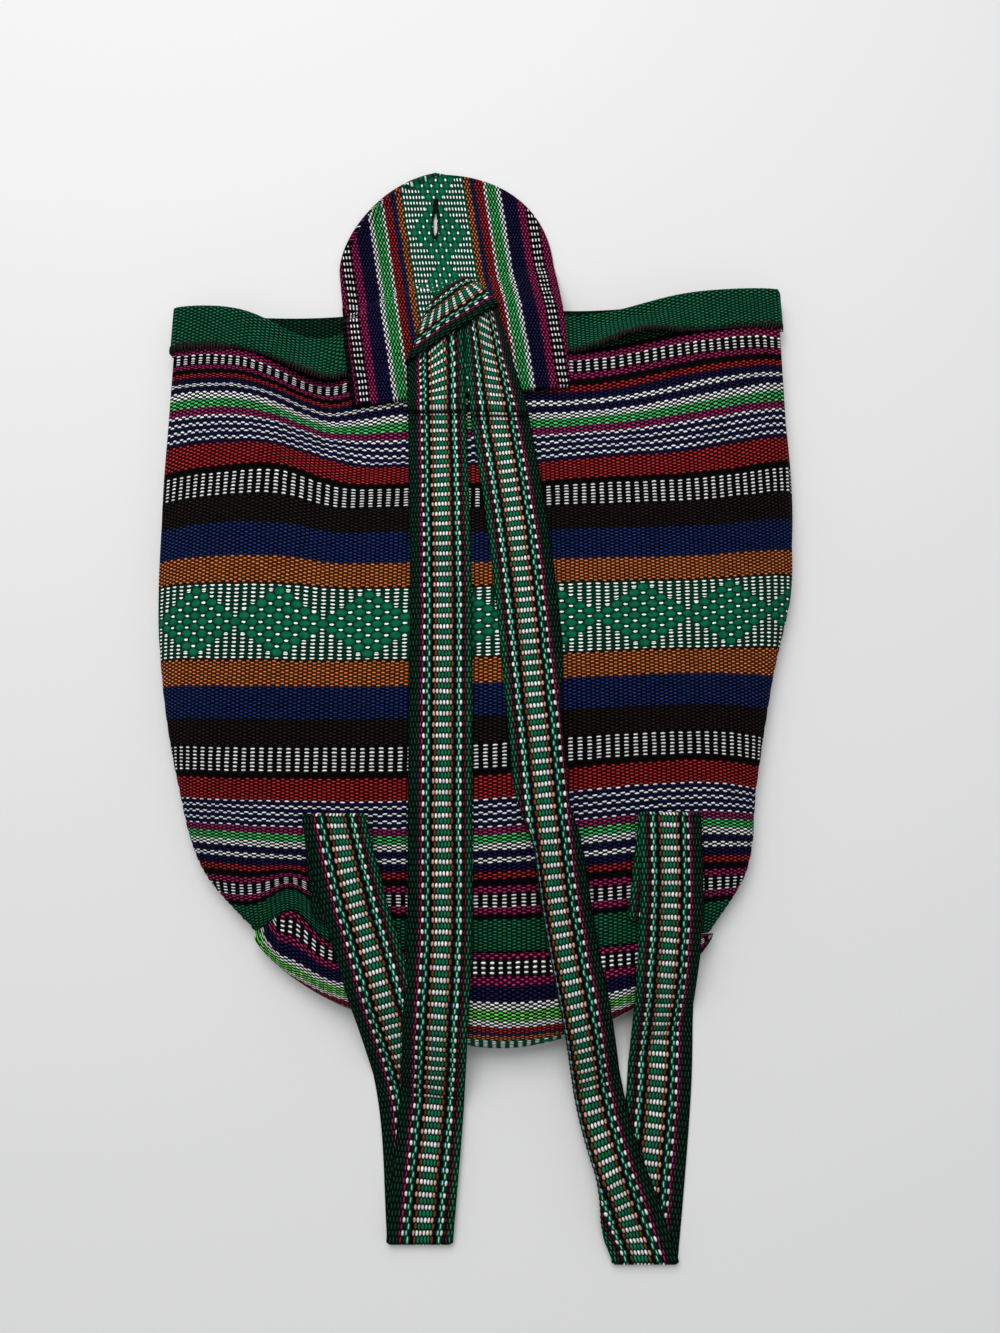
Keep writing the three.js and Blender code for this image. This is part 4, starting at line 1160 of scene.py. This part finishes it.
# Materials
body_weave = woven_material("body weave", BODY_STRIPES, PICK, END, True, BODY_DIAMONDS)
flap_weave = woven_material("flap weave", FLAP_STRIPES, FLAP_PICK, END, True, FLAP_DIAMONDS)
base_weave = woven_material("base weave", BASE_STRIPES, FLAP_PICK, END, True, FLAP_DIAMONDS)
strap_weave = woven_material(
    "strap weave", STRAP_STRIPES, STRAP_PICK, STRAP_END, False, bump_mm=STRAP_BUMP, crest_half=STRAP_CREST
)
black_thread = plain_material("black thread", BLACK_THREAD, CLOTH_ROUGH, variation=0.8)
highlit_thread = plain_material("black thread with painted highlight", HIGHLIT_THREAD, CLOTH_ROUGH, variation=1.5)
button_wood = plain_material("button wood", BUTTON_WOOD, roughness=0.5)

# Pieces, in the order of the random draws
body = body_object(body_weave)
base = base_object(base_weave)
flap = flap_object(flap_weave)
strap = strap_object(strap_weave)
overlock = overlock_object(black_thread, highlit_thread)
slit = slit_object(black_thread)

for piece, node, slot in [
    (body, "body", "body_cloth"),
    (base, "base_panel", "base_cloth"),
    (flap, "flap", "flap_cloth"),
    (strap, "shoulder_strap", "strap_webbing"),
    (overlock, "rim_overlock", "black_thread"),
    (slit, "slit_stitching", "black_thread"),
]:
    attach(piece, "root")
    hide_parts(node)

# Carried over from the solids as they are
for node, material, slot in [
    ("button", button_wood, "button_wood"),
    ("button_thread", black_thread, "black_thread"),
]:
    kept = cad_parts[node]
    kept.data.materials.clear()
    kept.data.materials.append(material)

# Floor, light and camera
FLOOR_HALF = 6000
WORLD_COLOUR = (0.95, 0.97, 1.0, 1)
WORLD_STRENGTH = 0.5
CAMERA_AT = Vector((0.0136, -0.1599, 0.5494))
LOOK_AT = Vector((0.0136, -0.028, 0))
CAMERA_LENS = 27
CAMERA_SENSOR = 36

floor_material = plain_material("floor paint", FLOOR_PAINT, roughness=0.6, variation=0.03)
corners = [(x * FLOOR_HALF, y * FLOOR_HALF, 0) for x, y in [(-1, -1), (1, -1), (1, 1), (-1, 1)]]
floor = mesh_object("floor", corners, [(0, 1, 2, 3)], floor_material)


# Puts a lamp or a camera in its place and points it at another
def aimed_object(name, data, place, target):
    made = bpy.data.objects.new(name, data)
    made.location = place
    made.rotation_mode = "QUATERNION"
    made.rotation_quaternion = (Vector(target) - Vector(place)).to_track_quat("-Z", "Y")
    bpy.context.scene.collection.objects.link(made)
    return made


def area_light(name, place, target, side, watts):
    light = bpy.data.lights.new(name, "AREA")
    light.shape = "SQUARE"
    light.size = side
    light.energy = watts
    aimed_object(name, light, place, target)


area_light("overhead", place=(-0.25, 0.75, 1.35), target=(0, 0.05, 0), side=1.2, watts=20)
area_light("front fill", place=(0.5, -1.2, 1.3), target=(0, 0, 0), side=1, watts=1)

world = bpy.data.worlds.new("studio")
world.use_nodes = True
background = world.node_tree.nodes["Background"]
background.inputs["Color"].default_value = WORLD_COLOUR
background.inputs["Strength"].default_value = WORLD_STRENGTH
bpy.context.scene.world = world

camera = bpy.data.cameras.new("camera")
camera.lens = CAMERA_LENS
camera.sensor_width = CAMERA_SENSOR
bpy.context.scene.camera = aimed_object("camera", camera, CAMERA_AT, LOOK_AT)
bpy.context.scene.view_settings.view_transform = "Standard"
